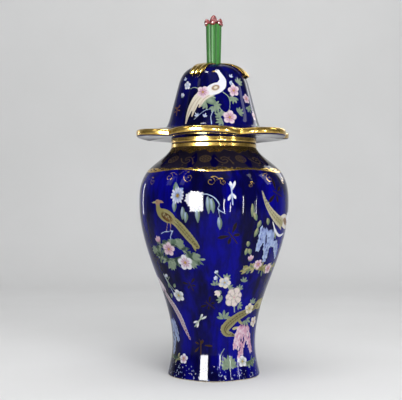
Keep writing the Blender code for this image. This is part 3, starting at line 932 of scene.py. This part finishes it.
def paint_back(painting):
    """The hidden side in keeping with the front, and plainer."""
    dice = random.Random(53)
    pheasant(painting.at(172, 300, reach=120, flip=True))
    for angle, height, size in ((165, 210, 1.0), (-140, 190, 0.9)):
        bank = painting.at(angle, height, size=size)
        foliage(bank, [(-34, 6), (-12, -6), (12, -6), (34, 4)], dice, 30, 12)
        palms(bank, ((30, 4, 20), (-30, 6, 150)), 17, 4, 80)
        blossom(bank, -12, 4, 13, BLUSH, PINK, 80)
        blossom(bank, 14, -4, 14, WHITE, PINK, 95)
    for angle, height in ((112, 270), (-108, 290)):
        hanging = painting.at(angle, height)
        for x, drop in ((-12, 30), (2, 48), (14, 36)):
            raceme(hanging, [(x * 0.5, 10), (x, -8), (x * 1.2, 4 - drop)], 10, LILAC, MIST, dice)
        leaves(hanging, [((x, 26), (x - 2, 8)) for x in (-18, -6, 8, 20)], 8, LEAF, PALE_OLIVE)
    daisy(painting.at(-150, 322), 0, 0, 15)
    daisy(painting.at(-137, 312), 0, 0, 16, WHITE, MIST, 15, YELLOW)
    for angle, height in ((140, 90), (-160, 100), (-100, 120)):
        spray = painting.at(angle, height)
        spray.line([(-20, 24), (0, 6), (8, -22)], [1.4, 2.0], PALE_LEAF)
        palms(spray, ((-16, 22, 120), (10, -14, -20), (2, 8, 40)), 13, 4, 110)
        blossom(spray, 0, 2, 12, CREAM, BLUSH, 70)
    for angle, height in ((140, 330), (-170, 150), (105, 190)):
        insect(painting.at(angle, height, turn=20), 30, WHITE, MIST)
    for angle, height in ((120, 34), (178, 36), (-122, 34)):
        bank = painting.at(angle, height)
        foliage(bank, [(-22, 0), (0, 3), (22, 0)], dice, 16, 10, (PALE_LEAF, LEAF, DEEP_LEAF))
        blossom(bank, 0, 2, 9)


def paint_volutes(painting):
    for angle, height, radius, flip in ((-53, 351, 7, 1), (-37, 358, 7.5, -1), (-20, 357, 11, 1), (-3, 350, 8, -1),
                                        (6, 349, 6, 1), (27, 344, 5, -1), (46, 356, 8, 1), (64, 352, 7, -1),
                                        (95, 354, 8, 1), (120, 354, 8, -1), (150, 354, 8, 1), (180, 354, 8, -1),
                                        (-150, 354, 8, 1), (-120, 354, 8, -1), (-90, 354, 8, 1), (-72, 354, 7, -1)):
        volute(painting.at(angle, height), radius, flip)


def paint_collar(painting):
    """The gilt neck, and below it a dark scrolled collar edged with gilt filigree."""
    whole = painting.band(355, 430)
    swing = np.cos(np.radians(whole.x * LOBES))
    low = COLLAR_FOOT - 2.0 * swing
    high = low + 5.0 + 2.5 * swing
    ragged = NECK_GILT - 2.6 * np.cos(np.radians(whole.x * 12)) + 1.2 * np.cos(np.radians(whole.x * 31))
    whole.lay(whole.y - low, NIGHT * 3.0)
    cloud = np.cos(np.radians(whole.x * 17)) * np.cos(np.radians(whole.x * 3 + 40)) - abs(whole.y - 386) * 0.05
    whole.lay((cloud - 0.15) * 7, DEEP_BLUE * 0.45)
    lace = np.cos(np.radians(whole.x * 45)) * np.cos((whole.y - low) * 1.15) + 0.12
    whole.lay(np.minimum(lace * 2.4, np.minimum(whole.y - low, high - whole.y)), None, gold=True)
    whole.lay(1.2 - abs(whole.y - low - 0.8), None, gold=True)
    whole.lay(whole.y - ragged, None, gold=True)
    ring_gold = DULL_GOLD * 1.4
    for index in range(10):
        ring = painting.at(-9 + 36 * index, 390, reach=26)
        for radius in (9.5, 5.0):
            ring.lay(0.7 - abs(np.hypot(ring.x, ring.y) - radius), ring_gold)
        for petal in range(8):
            ring.oval(*toward(0, 0, 45 * petal, 7.2), 2.4, 1.6, ring_gold, 45 * petal)
        ring.oval(0, 0, 3.4, None, ring_gold)
        side = painting.at(9 + 36 * index, 386, reach=28)
        side.line([(-15, 9), (-9, -2), (0, -6), (6, 0), (2, 5), (-3, 2)], 1.2, DULL_GOLD * 1.6)
        side.line([(15, -9), (11, 2), (4, 11), (-4, 10), (-5, 5)], 1.2, DULL_GOLD * 1.6)
        for x, y, degrees in ((-11, 4, 140), (-4, -8, 250), (12, -4, -20), (8, 8, 60)):
            side.blade((x, y), toward(x, y, degrees, 6), 2.0, DULL_GOLD)


def paint_foot(painting):
    """Pale flecks over a darker ground round the foot."""
    dice = random.Random(67)
    for _ in range(300):
        height = 3 + 27 * dice.random() ** 1.4
        dot = painting.at(dice.uniform(-180, 180), height, reach=5)
        dot.oval(0, 0, dice.uniform(1.8, 3.6), dice.uniform(1.4, 2.2), (MIST, WHITE, LILAC)[dice.randrange(3)] * 0.8,
                 dice.uniform(0, 180))


def decorate_body(painting):
    paint_collar(painting)
    paint_foot(painting)
    paint_dark_moths(painting)
    paint_volutes(painting)
    paint_back(painting)
    paint_front_left(painting)
    paint_front_right(painting)
    paint_front_low(painting)
    paint_left_low(painting)


def white_bird(sheet):
    """A white bird on the dome, looking to -x over its long tail."""
    for places, widths in (([(-8, -6), (-30, -16), (-44, -32), (-53, -50), (-57, -66)], [14, 15, 11, 6, 2]),
                           ([(-10, -10), (-28, -20), (-38, -36), (-44, -52)], [10, 9, 6, 2]),
                           ([(-8, -12), (-22, -22), (-30, -36)], [8, 7, 2])):
        sheet.line(places, widths, CREAM)
        sheet.line(places, 1.0, TAN)
    sheet.oval(-1, -2, 38, 21, WHITE, 22, heart=CREAM)
    sheet.line([(10, 4), (13, 14), (9, 24), (5, 31)], [17, 11, 7, 6], WHITE)
    sheet.oval(3.5, 33, 9, 7.5, WHITE)
    sheet.blade((0, 33), (-7, 31), 2.6, YELLOW, fullest=0.25)
    sheet.oval(2.5, 34, 1.8, None, UMBER)
    sheet.oval(0, 0, 15, 10, TAN, 20, heart=OLIVE)
    sheet.oval(0, 0, 7, 4.4, CREAM, 20)


def paint_dome(painting):
    """The white bird among its blossoms in front, and plain sprays on the hidden lobes."""
    sheet = painting.at(2, 517, reach=110)
    sheet.line([(13, -8), (24, -18), (25, -38), (17, -47), (8, -40)], [1.5, 1.3], PALE_LEAF)
    sheet.line([(-48, 0), (-40, 2), (-31, -1)], 1.4, PALE_LEAF)
    sheet.line([(-40, -59), (-20, -43), (-4, -40)], [1.2, 1.5], MIST)
    sheet.line([(-8, -70), (-9, -54), (-4, -42)], 1.6, MIST)
    palms(sheet, ((-12, -16, -50), (-16, -30, 200), (-3, -34, -80), (-4, -34, 10), (9, -54, 120), (42, -47, 40),
                  (12, -62, 200), (44, 9, 60), (34, -16, -100), (-20, -20, 240)), 14, 5, 130)
    sheet.oval(-10, -24, 22, 13, LEAF, -30, heart=PALE_LEAF)
    white_bird(sheet)
    blossom(sheet, -23, -8, 11.5, BLUSH, PINK, 60)
    blossom(sheet, 34, -4, 11.5, BLUSH, PINK, 100)
    blossom(sheet, 25, -55, 13, BLUSH, PINK, 80)
    blossom(sheet, -56, 7, 8, WHITE, MIST, 90, WHITE)
    bud(sheet, -70, -16, 11, 70, WHITE, LILAC)
    palms(sheet, ((27, 20, 60), (25, 12, -20), (-21, -56, 70), (-33, -54, 120), (-62, 16, 100)), 9, 3, 70, SKY, WHITE)
    insect(painting.at(-58, 478, turn=10), 20, BROWN_GOLD * 1.6, BROWN_GOLD)
    for angle, height in ((52, 500), (64, 470)):
        blossom(painting.at(angle, height), 0, 0, 9, BLUSH, PINK)
        palm(painting.at(angle, height - 14), 0, 0, 13, -70, 5, 150)
    for angle, height in ((112, 505), (178, 515), (-118, 505)):
        spray = painting.at(angle, height)
        spray.line([(-18, 20), (0, 4), (10, -26)], [1.4, 1.8], PALE_LEAF)
        palms(spray, ((-16, 18, 120), (10, -16, -20), (2, 6, 40), (4, -24, -110)), 14, 5, 120)
        blossom(spray, 0, 2, 12, BLUSH, PINK, 70)
        blossom(spray, 10, -28, 10, WHITE, PINK, 40)


class Flow:
    """A value on its way through a material's nodes, so that a sum written on it becomes Math nodes."""

    def __init__(self, finish, socket):
        self.finish = finish
        self.socket = socket

    def __add__(self, other):
        return self.finish.maths("ADD", self, other)

    def __mul__(self, other):
        return self.finish.maths("MULTIPLY", self, other)

    __radd__ = __add__
    __rmul__ = __mul__


class Finish:
    """One material, built round its shader."""

    def __init__(self, name, **plain):
        self.material = bpy.data.materials.new(name)
        self.material.use_nodes = True
        self.tree = self.material.node_tree
        self.shader = self.tree.nodes["Principled BSDF"]
        for socket, value in plain.items():
            self.feed(self.shader.inputs[socket.replace("_", " ")], value)

    def feed(self, socket, value):
        if isinstance(value, Flow):
            self.tree.links.new(value.socket, socket)
        else:
            socket.default_value = value

    def node(self, kind, settings, sockets, output=0):
        made = self.tree.nodes.new("ShaderNode" + kind)
        for name, value in settings.items():
            setattr(made, name, value)
        for name, value in sockets.items():
            self.feed(made.inputs[name], value)
        return Flow(self, made.outputs[output])

    def maths(self, operation, first, second):
        return self.node("Math", {"operation": operation}, {0: first, 1: second})

    def attribute(self, name, output="Fac"):
        return self.node("Attribute", {"attribute_name": name}, {}, output)

    def blend(self, share, first, second, kind="MIX"):
        return self.node("Mix", {"data_type": "RGBA", "blend_type": kind}, {0: share, 6: first, 7: second}, 2)

    def ease(self, value, low, high):
        """0 below low, 1 above high, and smooth between."""
        return self.node("MapRange", {"interpolation_type": "SMOOTHSTEP"}, {0: value, 1: low, 2: high})

    def place(self, scale=(1, 1, 1)):
        found = self.node("TexCoord", {}, {}, "Object")
        return self.node("Mapping", {}, {"Vector": found, "Scale": scale})

    def noise(self, scale, size, detail=3.0, roughness=0.5):
        return self.node("TexNoise", {}, {"Vector": self.place(scale), "Scale": size, "Detail": detail,
                                          "Roughness": roughness})

    def finish(self, **changing):
        for socket, value in changing.items():
            self.feed(self.shader.inputs[socket.replace("_", " ")], value)
        return self.material


def rgba(colour):
    return (*colour, 1)


def painted_cobalt(name, bright, dark):
    """Deep cobalt glaze, clouded and streaked where it ran, with the enamels and the gold over it."""
    finish = Finish(name, Specular_IOR_Level=0.10)
    cloud = finish.ease(finish.noise((1, 1, 0.45), 15, 4.0, 0.6), 0.42, 0.60)
    streak = finish.ease(finish.noise((7, 7, 0.8), 13, 4.0, 0.6), 0.30, 0.70)
    grain = finish.noise((1, 1, 0.6), 150, 4.0, 0.7)
    share = cloud * (0.45 + streak * 0.55) + streak * 0.20
    cobalt = finish.blend(share, rgba(dark), rgba(bright))
    cobalt = finish.blend(grain * 0.35, cobalt, rgba(ink(8, 6, 40)))
    cover = finish.ease(finish.attribute("cover"), 0.40, 0.60)
    gilt = finish.ease(finish.attribute("gilt"), 0.40, 0.60)
    brush = finish.noise((1, 1, 1), 700, 3.0, 0.6)
    enamel = finish.blend(brush * 0.40, finish.attribute("enamel", "Color"), rgba(ink(140, 140, 140)), "MULTIPLY")
    painted = finish.blend(cover * 0.97, cobalt, enamel)
    wear = finish.ease(finish.noise((1, 1, 1), 240, 4.0, 0.7), 0.30, 0.70)
    gold = finish.blend(wear, rgba(ink(184, 146, 60)), rgba(ink(226, 192, 112)))
    colour = finish.blend(gilt, painted, gold)
    bump = finish.node("Bump", {}, {"Strength": 0.10, "Distance": 0.0004,
                                    "Height": finish.noise((1, 1, 1), 45, 2.0) + cover * 0.25 + gilt * 0.2})
    return finish.finish(
        Base_Color=colour,
        Metallic=gilt * 0.95,
        Roughness=0.05 + gilt * 0.12 + cover * 0.05,
        Normal=bump,
    )


def white_glaze():
    finish = Finish("white_inner_glaze", Roughness=0.12)
    tone = finish.ease(finish.noise((1, 1, 1), 35, 4.0), 0.35, 0.7)
    colour = finish.blend(tone, rgba(ink(226, 224, 214)), rgba(ink(240, 238, 230)))
    return finish.finish(Base_Color=colour)


def biscuit():
    finish = Finish("bare_biscuit", Roughness=0.85)
    tone = finish.ease(finish.noise((1, 1, 1), 420, 5.0, 0.7), 0.3, 0.7)
    colour = finish.blend(tone, rgba(ink(168, 152, 126)), rgba(ink(214, 202, 178)))
    grain = finish.node("Bump", {}, {"Strength": 0.4, "Distance": 0.0003, "Height": tone})
    return finish.finish(Base_Color=colour, Normal=grain)


def gilding():
    finish = Finish("burnished_gilding", Metallic=1.0)
    wear = finish.ease(finish.noise((1, 1, 1), 180, 4.0, 0.6), 0.3, 0.7)
    colour = finish.blend(wear, rgba(ink(186, 148, 60)), rgba(ink(232, 198, 112)))
    grain = finish.node("Bump", {}, {"Strength": 0.15, "Distance": 0.0003,
                                     "Height": finish.noise((1, 1, 1), 160, 3.0)})
    return finish.finish(Base_Color=colour, Roughness=0.12 + wear * 0.08, Normal=grain)


def green_enamel():
    finish = Finish("green_enamel", Specular_IOR_Level=0.15)
    # Painted shade: the enamel is a darker green the deeper a point lies in its flute
    flute_shade = finish.ease(finish.attribute("hollow"), 0.1, 0.9)
    patch = finish.noise((1, 1, 0.3), 220, 4.0, 0.6)
    colour = finish.blend(flute_shade, rgba(ink(56, 130, 52)), rgba(ink(32, 84, 32)))
    colour = finish.blend(patch * 0.30, colour, rgba(ink(86, 148, 74)))
    return finish.finish(Base_Color=colour, Roughness=0.34 + patch * 0.14)


def rose_enamel():
    finish = Finish("rose_enamel", Coat_Roughness=0.05)
    patch = finish.noise((1, 1, 1), 300, 4.0, 0.6)
    colour = finish.blend(finish.ease(patch, 0.35, 0.7), rgba(ink(104, 34, 40)), rgba(ink(176, 88, 86)))
    return finish.finish(Base_Color=colour, Roughness=0.2 + patch * 0.1, Coat_Weight=0.5)


def store(mesh, name, kind, values):
    """Keeps values at the mesh's points, where its material reads them."""
    made = mesh.attributes.new(name, kind, "POINT")
    made.data.foreach_set("color" if kind == "FLOAT_COLOR" else "value", np.ascontiguousarray(values, float).ravel())


def keep_painting(mesh, painting):
    colours = np.concatenate([painting.colour, np.ones((len(painting.colour), 1))], axis=1)
    store(mesh, "enamel", "FLOAT_COLOR", colours)
    store(mesh, "cover", "FLOAT", painting.cover)
    store(mesh, "gilt", "FLOAT", painting.gilt)


def make_body(white):
    outline = body_outline()
    body = turned("painted_vase", outline, BODY_SIDES)
    heights = np.linspace(BODY_STATIONS[0][0], BODY_STATIONS[-1][0], 600)
    rises = lengths_along(np.stack([body_radius(heights), heights], axis=1)) / MM

    def outside(places):
        return out_from_axis(places) > body_radius(places[:, 2]) - WALL / 3

    def painting_of(places):
        painting = Painting(places, heights / MM, rises)
        painting.open = outside(places) & (places[:, 2] > 0.0)
        decorate_body(painting)
        return painting

    # The motifs are laid once on the coarse skin, its faces near them are cut finer, and they are laid again
    sketch = painting_of(coordinates(body.data))
    corners = values_of(body.data.loops, "vertex_index", kind=int)
    starts = values_of(body.data.polygons, "loop_start", kind=int)
    wanted = np.logical_or.reduceat(sketch.near[corners], starts)
    hidden = face_middles(body.data)[:, 1] > 0
    cuts = body.data.attributes.new("cuts", "INT", "FACE")
    cuts.data.foreach_set("value", wanted * np.where(hidden, BACK_CUTS, FRONT_CUTS))
    for count in (BACK_CUTS, FRONT_CUTS):
        refine(body, count)
    body.data.attributes.remove(body.data.attributes["cuts"])
    places = coordinates(body.data)
    skin = outside(places) & (places[:, 2] > BODY_STATIONS[0][0]) & (places[:, 2] < BODY_STATIONS[-1][0])
    places[skin, :2] *= (body_radius(places[skin, 2]) / out_from_axis(places[skin]))[:, None]
    put_coordinates(body.data, places)
    final = painting_of(places)
    keep_painting(body.data, final)
    press_lobes(body, outline)
    glaze = painted_cobalt("painted_cobalt", ink(4, 2, 138), ink(3, 2, 40))
    for material in (glaze, white, biscuit()):
        body.data.materials.append(material)
    middles = face_middles(body.data)
    radius = out_from_axis(middles)
    zones = np.zeros(len(middles), int)
    zones[(middles[:, 2] > FLOOR - MM) & (radius < body_radius(middles[:, 2]) * (1 - BODY_GROOVE) - WALL / 2)] = 1
    zones[(middles[:, 2] < FOOT_RECESS + MM) & (radius < FOOT_ZONE)] = 1
    zones[(middles[:, 2] < BISCUIT_HEIGHT) & (radius > FOOT_ZONE)] = 2
    body.data.polygons.foreach_set("material_index", zones)
    smooth(body)
    return body


def make_lid_cover(white):
    outline = lid_outline()
    cover = turned("lid_cover", outline, LID_SIDES)
    height = coordinates(cover.data)[:, 2] - SEAT
    press_lobes(cover, outline)
    cover.data.transform(Matrix.Rotation(LID_TURN, 4, "Z"))
    places = coordinates(cover.data)
    dome = dome_line()
    painting = Painting(places, (dome[:, 1] + SEAT) / MM, lengths_along(dome) / MM)
    radius = out_from_axis(places)
    angle = round_from_front(places) - LID_TURN
    skin = np.interp(height, dome[:, 1], dome[:, 0]) * lobed(np.full(len(angle), 1 - DOME_GROOVE), angle)
    painting.open = (height > dome[0, 1]) & (radius > skin - LID_WALL / 3)
    paint_dome(painting)
    rim = BRIM_RADIUS * lobed(np.full(len(angle), BRIM_NOTCH), angle)
    gold = np.clip((GILT_RIM - (rim - radius)) / MM / EDGE + 0.5, 0, 1)
    gold[height < BRIM_EDGE_LOW - GILT_UNDER_RIM] = 0
    gold[(height > RIM_ROUND * 0.9) & (height < COLLAR_GILT) & (radius < NECK_RADIUS + WALL / 2)] = 1
    painting.gilt = np.maximum(painting.gilt, gold)
    keep_painting(cover.data, painting)
    for material in (painted_cobalt("painted_cobalt_lid", ink(4, 4, 96), ink(3, 3, 18)), white):
        cover.data.materials.append(material)
    middles = face_middles(cover.data)
    radius = out_from_axis(middles)
    height = middles[:, 2] - SEAT
    normals = values_of(cover.data.polygons, "normal", 3)
    # Faces of the hollow look towards the axis, or down from the crown
    outward = (normals[:, :2] * middles[:, :2]).sum(axis=1) + normals[:, 2] * 0.02
    zones = np.zeros(len(middles), int)
    zones[(height < 0) | ((outward < 0) & (radius < NECK_RADIUS - FINE_ROUND))] = 1
    cover.data.polygons.foreach_set("material_index", zones)
    smooth(cover)
    return cover


def walk_down_dome(distance):
    """A place on the dome's profile that far down from its crown, and the way out of the glaze there."""
    line = dome_line()[::-1]
    lengths = lengths_along(line)
    r = np.interp(distance, lengths, line[:, 0])
    z = np.interp(distance, lengths, line[:, 1])
    ahead = np.array([np.interp(distance + MM, lengths, line[:, i]) for i in (0, 1)])
    behind = np.array([np.interp(distance - MM, lengths, line[:, i]) for i in (0, 1)])
    along = (ahead - behind) / np.hypot(*(ahead - behind))
    return r, z + SEAT, -along[1], along[0]


def make_leaf(name, middle, material):
    """A gilt leaf luted over a groove of the dome, ribbed, scalloped at its end and thick at its edge."""
    start_from_nothing()
    bpy.ops.mesh.primitive_grid_add(x_subdivisions=36, y_subdivisions=40, size=2)
    leaf_piece = bpy.context.object
    leaf_piece.name = name
    places = coordinates(leaf_piece.data)
    out = []
    for x, y, _ in places:
        down = (1 - y) / 2
        rib = abs(math.sin(math.pi * LEAF_RIBS * (x + 1) / 2))
        tip = LEAF_LENGTH - LEAF_SCALLOP * (1 - rib + x * x)
        r, z, out_r, out_z = walk_down_dome(LEAF_START + down * tip)
        lift = LEAF_RISE + LEAF_CURL * down**3 + LEAF_RIB * rib * down - LEAF_SIDE_DROP * abs(x) ** 6
        fullness = LEAF_ROOT_SHARE + (1 - LEAF_ROOT_SHARE) * math.sin(math.pi * down)
        angle = middle + x * min(LEAF_WIDTH / 2 * fullness / r, LEAF_ROOT_SPREAD)
        reach = r + out_r * lift
        out.append((reach * math.sin(angle), -reach * math.cos(angle), z + out_z * lift))
    put_coordinates(leaf_piece.data, np.array(out))
    leaf_piece.data.transform(Matrix.Rotation(LID_TURN, 4, "Z"))
    thick = leaf_piece.modifiers.new("thickness", "SOLIDIFY")
    thick.thickness = LEAF_THICKNESS
    thick.offset = -1
    bpy.ops.object.modifier_apply(modifier=thick.name)
    rounded = leaf_piece.modifiers.new("rounded", "BEVEL")
    rounded.width = LEAF_EDGE_ROUND
    rounded.segments = 2
    bpy.ops.object.modifier_apply(modifier=rounded.name)
    leaf_piece.data.materials.append(material)
    smooth(leaf_piece, 50)
    return leaf_piece


def make_stem():
    crown = dome_line()[-1][1] + SEAT
    top = crown + STEM_LENGTH
    share = 1 - STEM_GROOVE / STEM_FOOT_RADIUS
    side = np.linspace((STEM_FOOT_RADIUS, crown + MM), (STEM_TOP_RADIUS, top - STEM_EDGE_ROUND), 24)
    corner = (STEM_TOP_RADIUS - STEM_EDGE_ROUND, top - STEM_EDGE_ROUND)
    line = [(0, crown - STEM_SUNK), (STEM_FOOT_RADIUS, crown - STEM_SUNK), *side]
    line += [*quarter(corner, (STEM_TOP_RADIUS, corner[1]), (corner[0], top)), (STEM_TOP_RING, top), (0, top)]
    stem = turned("fluted_stem", [Point(r, z, share) for r, z in line], STEM_FLUTES * 12)
    places = coordinates(stem.data)
    shape = lobed(np.full(len(places), share), round_from_front(places), STEM_FLUTES)
    places[:, :2] *= shape[:, None]
    put_coordinates(stem.data, places)
    # How deep each point lies in its flute, which the green enamel reads to paint shade into the hollows
    store(stem.data, "hollow", "FLOAT", (1 - shape) / (1 - share))
    stem.data.transform(Matrix.Rotation(LID_TURN + FINIAL_TURN, 4, "Z"))
    stem.data.materials.append(green_enamel())
    smooth(stem, 40)
    return stem


def make_bud(name, radius, height, place, material):
    start_from_nothing()
    bpy.ops.mesh.primitive_uv_sphere_add(segments=20, ring_count=14, radius=1)
    thing = bpy.context.object
    thing.name = name
    places = coordinates(thing.data)
    rise = (places[:, 2] + 1) / 2
    width = radius * (1 - BUD_TAPER * rise**2)
    crease = 1 - BUD_CREASE * np.cos(np.arctan2(places[:, 1], places[:, 0]) * 3) * np.sin(math.pi * rise)
    places[:, 0] *= width * crease
    places[:, 1] *= width * crease
    places[:, 2] = rise * height
    put_coordinates(thing.data, places)
    thing.data.transform(place)
    thing.data.materials.append(material)
    smooth(thing, 60)
    return thing


def make_buds():
    top = dome_line()[-1][1] + SEAT + STEM_LENGTH
    rose = rose_enamel()
    centre = Matrix.Translation((0, 0, top - CENTRE_BUD_DROP))
    made = [make_bud("bud_centre", CENTRE_BUD_RADIUS, CENTRE_BUD_HEIGHT, centre, rose)]
    for index in range(BUDS):
        turn = Matrix.Rotation(2 * math.pi * index / BUDS + FINIAL_TURN + LID_TURN, 4, "Z")
        out = Matrix.Translation((0, -BUD_RING_RADIUS, top - BUD_DROP))
        place = turn @ out @ Matrix.Rotation(BUD_TILT, 4, "X")
        made.append(make_bud(f"bud_{index + 1}", BUD_RADIUS, BUD_HEIGHT, place, rose))
    return made


# The camera stands level in front of the vase, and the picture is 402 by 400
PICTURE_WIDTH = 402
FOCAL_PIXELS = 848
CAMERA = (-0.0235, -1.5655, 0.3185)

# The sweep runs back under the vase and turns up far enough off to leave room for a camera behind it
SWEEP_FRONT = -6.0
SWEEP_BACK = 1.5
SWEEP_ROUND = 0.5
SWEEP_TOP = 4.0
SWEEP_HALF_WIDTH = 5.0

# Lamps face the belly from round the vase: degrees from the front and up, distance, width, height and power.
# A fill lights surfaces but isn't mirrored in the glaze, and a shine is only mirrored.
LAMP_AIM = (0, 0, 0.31)
LAMPS = (
    ("soft_front", 15, 24, 2.8, 2.4, 1.6, 58, "fill"),
    ("ceiling", 0, 78, 2.6, 2.4, 2.4, 50, "fill"),
    ("window", -32, 1.0, 2.2, 0.95, 0.75, 280, "shine"),
    ("window_slit_1", 17, -4, 2.0, 0.05, 0.45, 9.5, "shine"),
    ("window_slit_2", 28, -4, 2.0, 0.03, 0.30, 4.5, "shine"),
    ("window_slit_3", 52, -4, 2.0, 0.05, 0.60, 9.5, "shine"),
    ("roof_window", -50, 68, 2.4, 0.5, 0.22, 26, "shine"),
    ("pale_ceiling", 10, 58, 2.4, 1.8, 1.5, 8, "shine"),
    ("pale_wall_left", -64, 32, 2.2, 0.35, 0.8, 3, "shine"),
    ("pale_door_left", -132, 4, 2.2, 0.10, 0.7, 3, "shine"),
    ("pale_wall_right", 86, 32, 2.2, 0.45, 0.9, 9, "shine"),
    ("pale_wall_back", 140, 28, 2.2, 0.7, 1.2, 9, "shine"),
)
SKY_COLOUR = (0.84, 0.87, 0.92, 1)
SKY_STRENGTH = 0.18


def make_camera():
    lens = bpy.data.cameras.new("camera")
    lens.sensor_width = 36
    lens.lens = 36 * FOCAL_PIXELS / PICTURE_WIDTH
    camera = bpy.data.objects.new("camera", lens)
    bpy.context.scene.collection.objects.link(camera)
    camera.location = CAMERA
    camera.rotation_euler = (math.pi / 2, 0, 0)
    bpy.context.scene.camera = camera


def make_stage():
    """A pale sweep: the floor, turning up into the wall behind."""
    start_from_nothing()
    bpy.ops.mesh.primitive_plane_add(size=1, location=(0, 0, 0))
    sweep = bpy.context.object
    sweep.name = "pale_sweep"
    line = [(SWEEP_FRONT, 0)]
    line += [(SWEEP_BACK + SWEEP_ROUND * math.sin(t), SWEEP_ROUND - SWEEP_ROUND * math.cos(t))
             for t in np.linspace(0, math.pi / 2, 16)]
    line.append((SWEEP_BACK + SWEEP_ROUND, SWEEP_TOP))
    mesh = bpy.data.meshes.new("pale_sweep")
    verts = [(x, y, z) for y, z in line for x in (-SWEEP_HALF_WIDTH, SWEEP_HALF_WIDTH)]
    faces = [(2 * i, 2 * i + 1, 2 * i + 3, 2 * i + 2) for i in range(len(line) - 1)]
    mesh.from_pydata(verts, [], faces)
    mesh.shade_smooth()
    sweep.data = mesh
    finish = Finish("pale_sweep", Roughness=0.8, Specular_IOR_Level=0.0)
    tone = finish.noise((1, 1, 1), 3, 2.0)
    colour = finish.blend(tone, rgba(ink(223, 223, 222)), rgba(ink(232, 232, 232)))
    mesh.materials.append(finish.finish(Base_Color=colour))


def make_light(name, azimuth, elevation, distance, width, height, power, kind):
    lamp = bpy.data.lights.new(name, "AREA")
    lamp.shape = "RECTANGLE"
    lamp.size = width
    lamp.size_y = height
    lamp.energy = power
    thing = bpy.data.objects.new(name, lamp)
    bpy.context.scene.collection.objects.link(thing)
    a, e = math.radians(azimuth), math.radians(elevation)
    away = Vector((math.sin(a) * math.cos(e), -math.cos(a) * math.cos(e), math.sin(e))) * distance
    thing.location = Vector(LAMP_AIM) + away
    thing.rotation_euler = (-away).to_track_quat("-Z", "Y").to_euler()
    thing.visible_camera = False
    thing.visible_glossy = kind != "fill"
    thing.visible_diffuse = kind != "shine"


def make_lights():
    world = bpy.data.worlds.new("studio")
    bpy.context.scene.world = world
    world.use_nodes = True
    background = world.node_tree.nodes["Background"]
    background.inputs["Color"].default_value = SKY_COLOUR
    background.inputs["Strength"].default_value = SKY_STRENGTH
    for lamp in LAMPS:
        make_light(*lamp)


bpy.context.scene.view_settings.view_transform = "Standard"
make_camera()
make_stage()
make_lights()

white = white_glaze()
body = make_body(white)
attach(body, "root")
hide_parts("vase_body")

cover = make_lid_cover(white)
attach(cover, "root")
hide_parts("lid")
leaf_gilding = gilding()
for index, angle in enumerate(LEAF_ANGLES):
    piece = make_leaf(f"gilt_leaf_{index + 1}", math.radians(angle), leaf_gilding)
    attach(piece, "root")
    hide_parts("lid")
stem = make_stem()
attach(stem, "root")
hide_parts("lid")
for piece in make_buds():
    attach(piece, "root")
    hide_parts("lid")
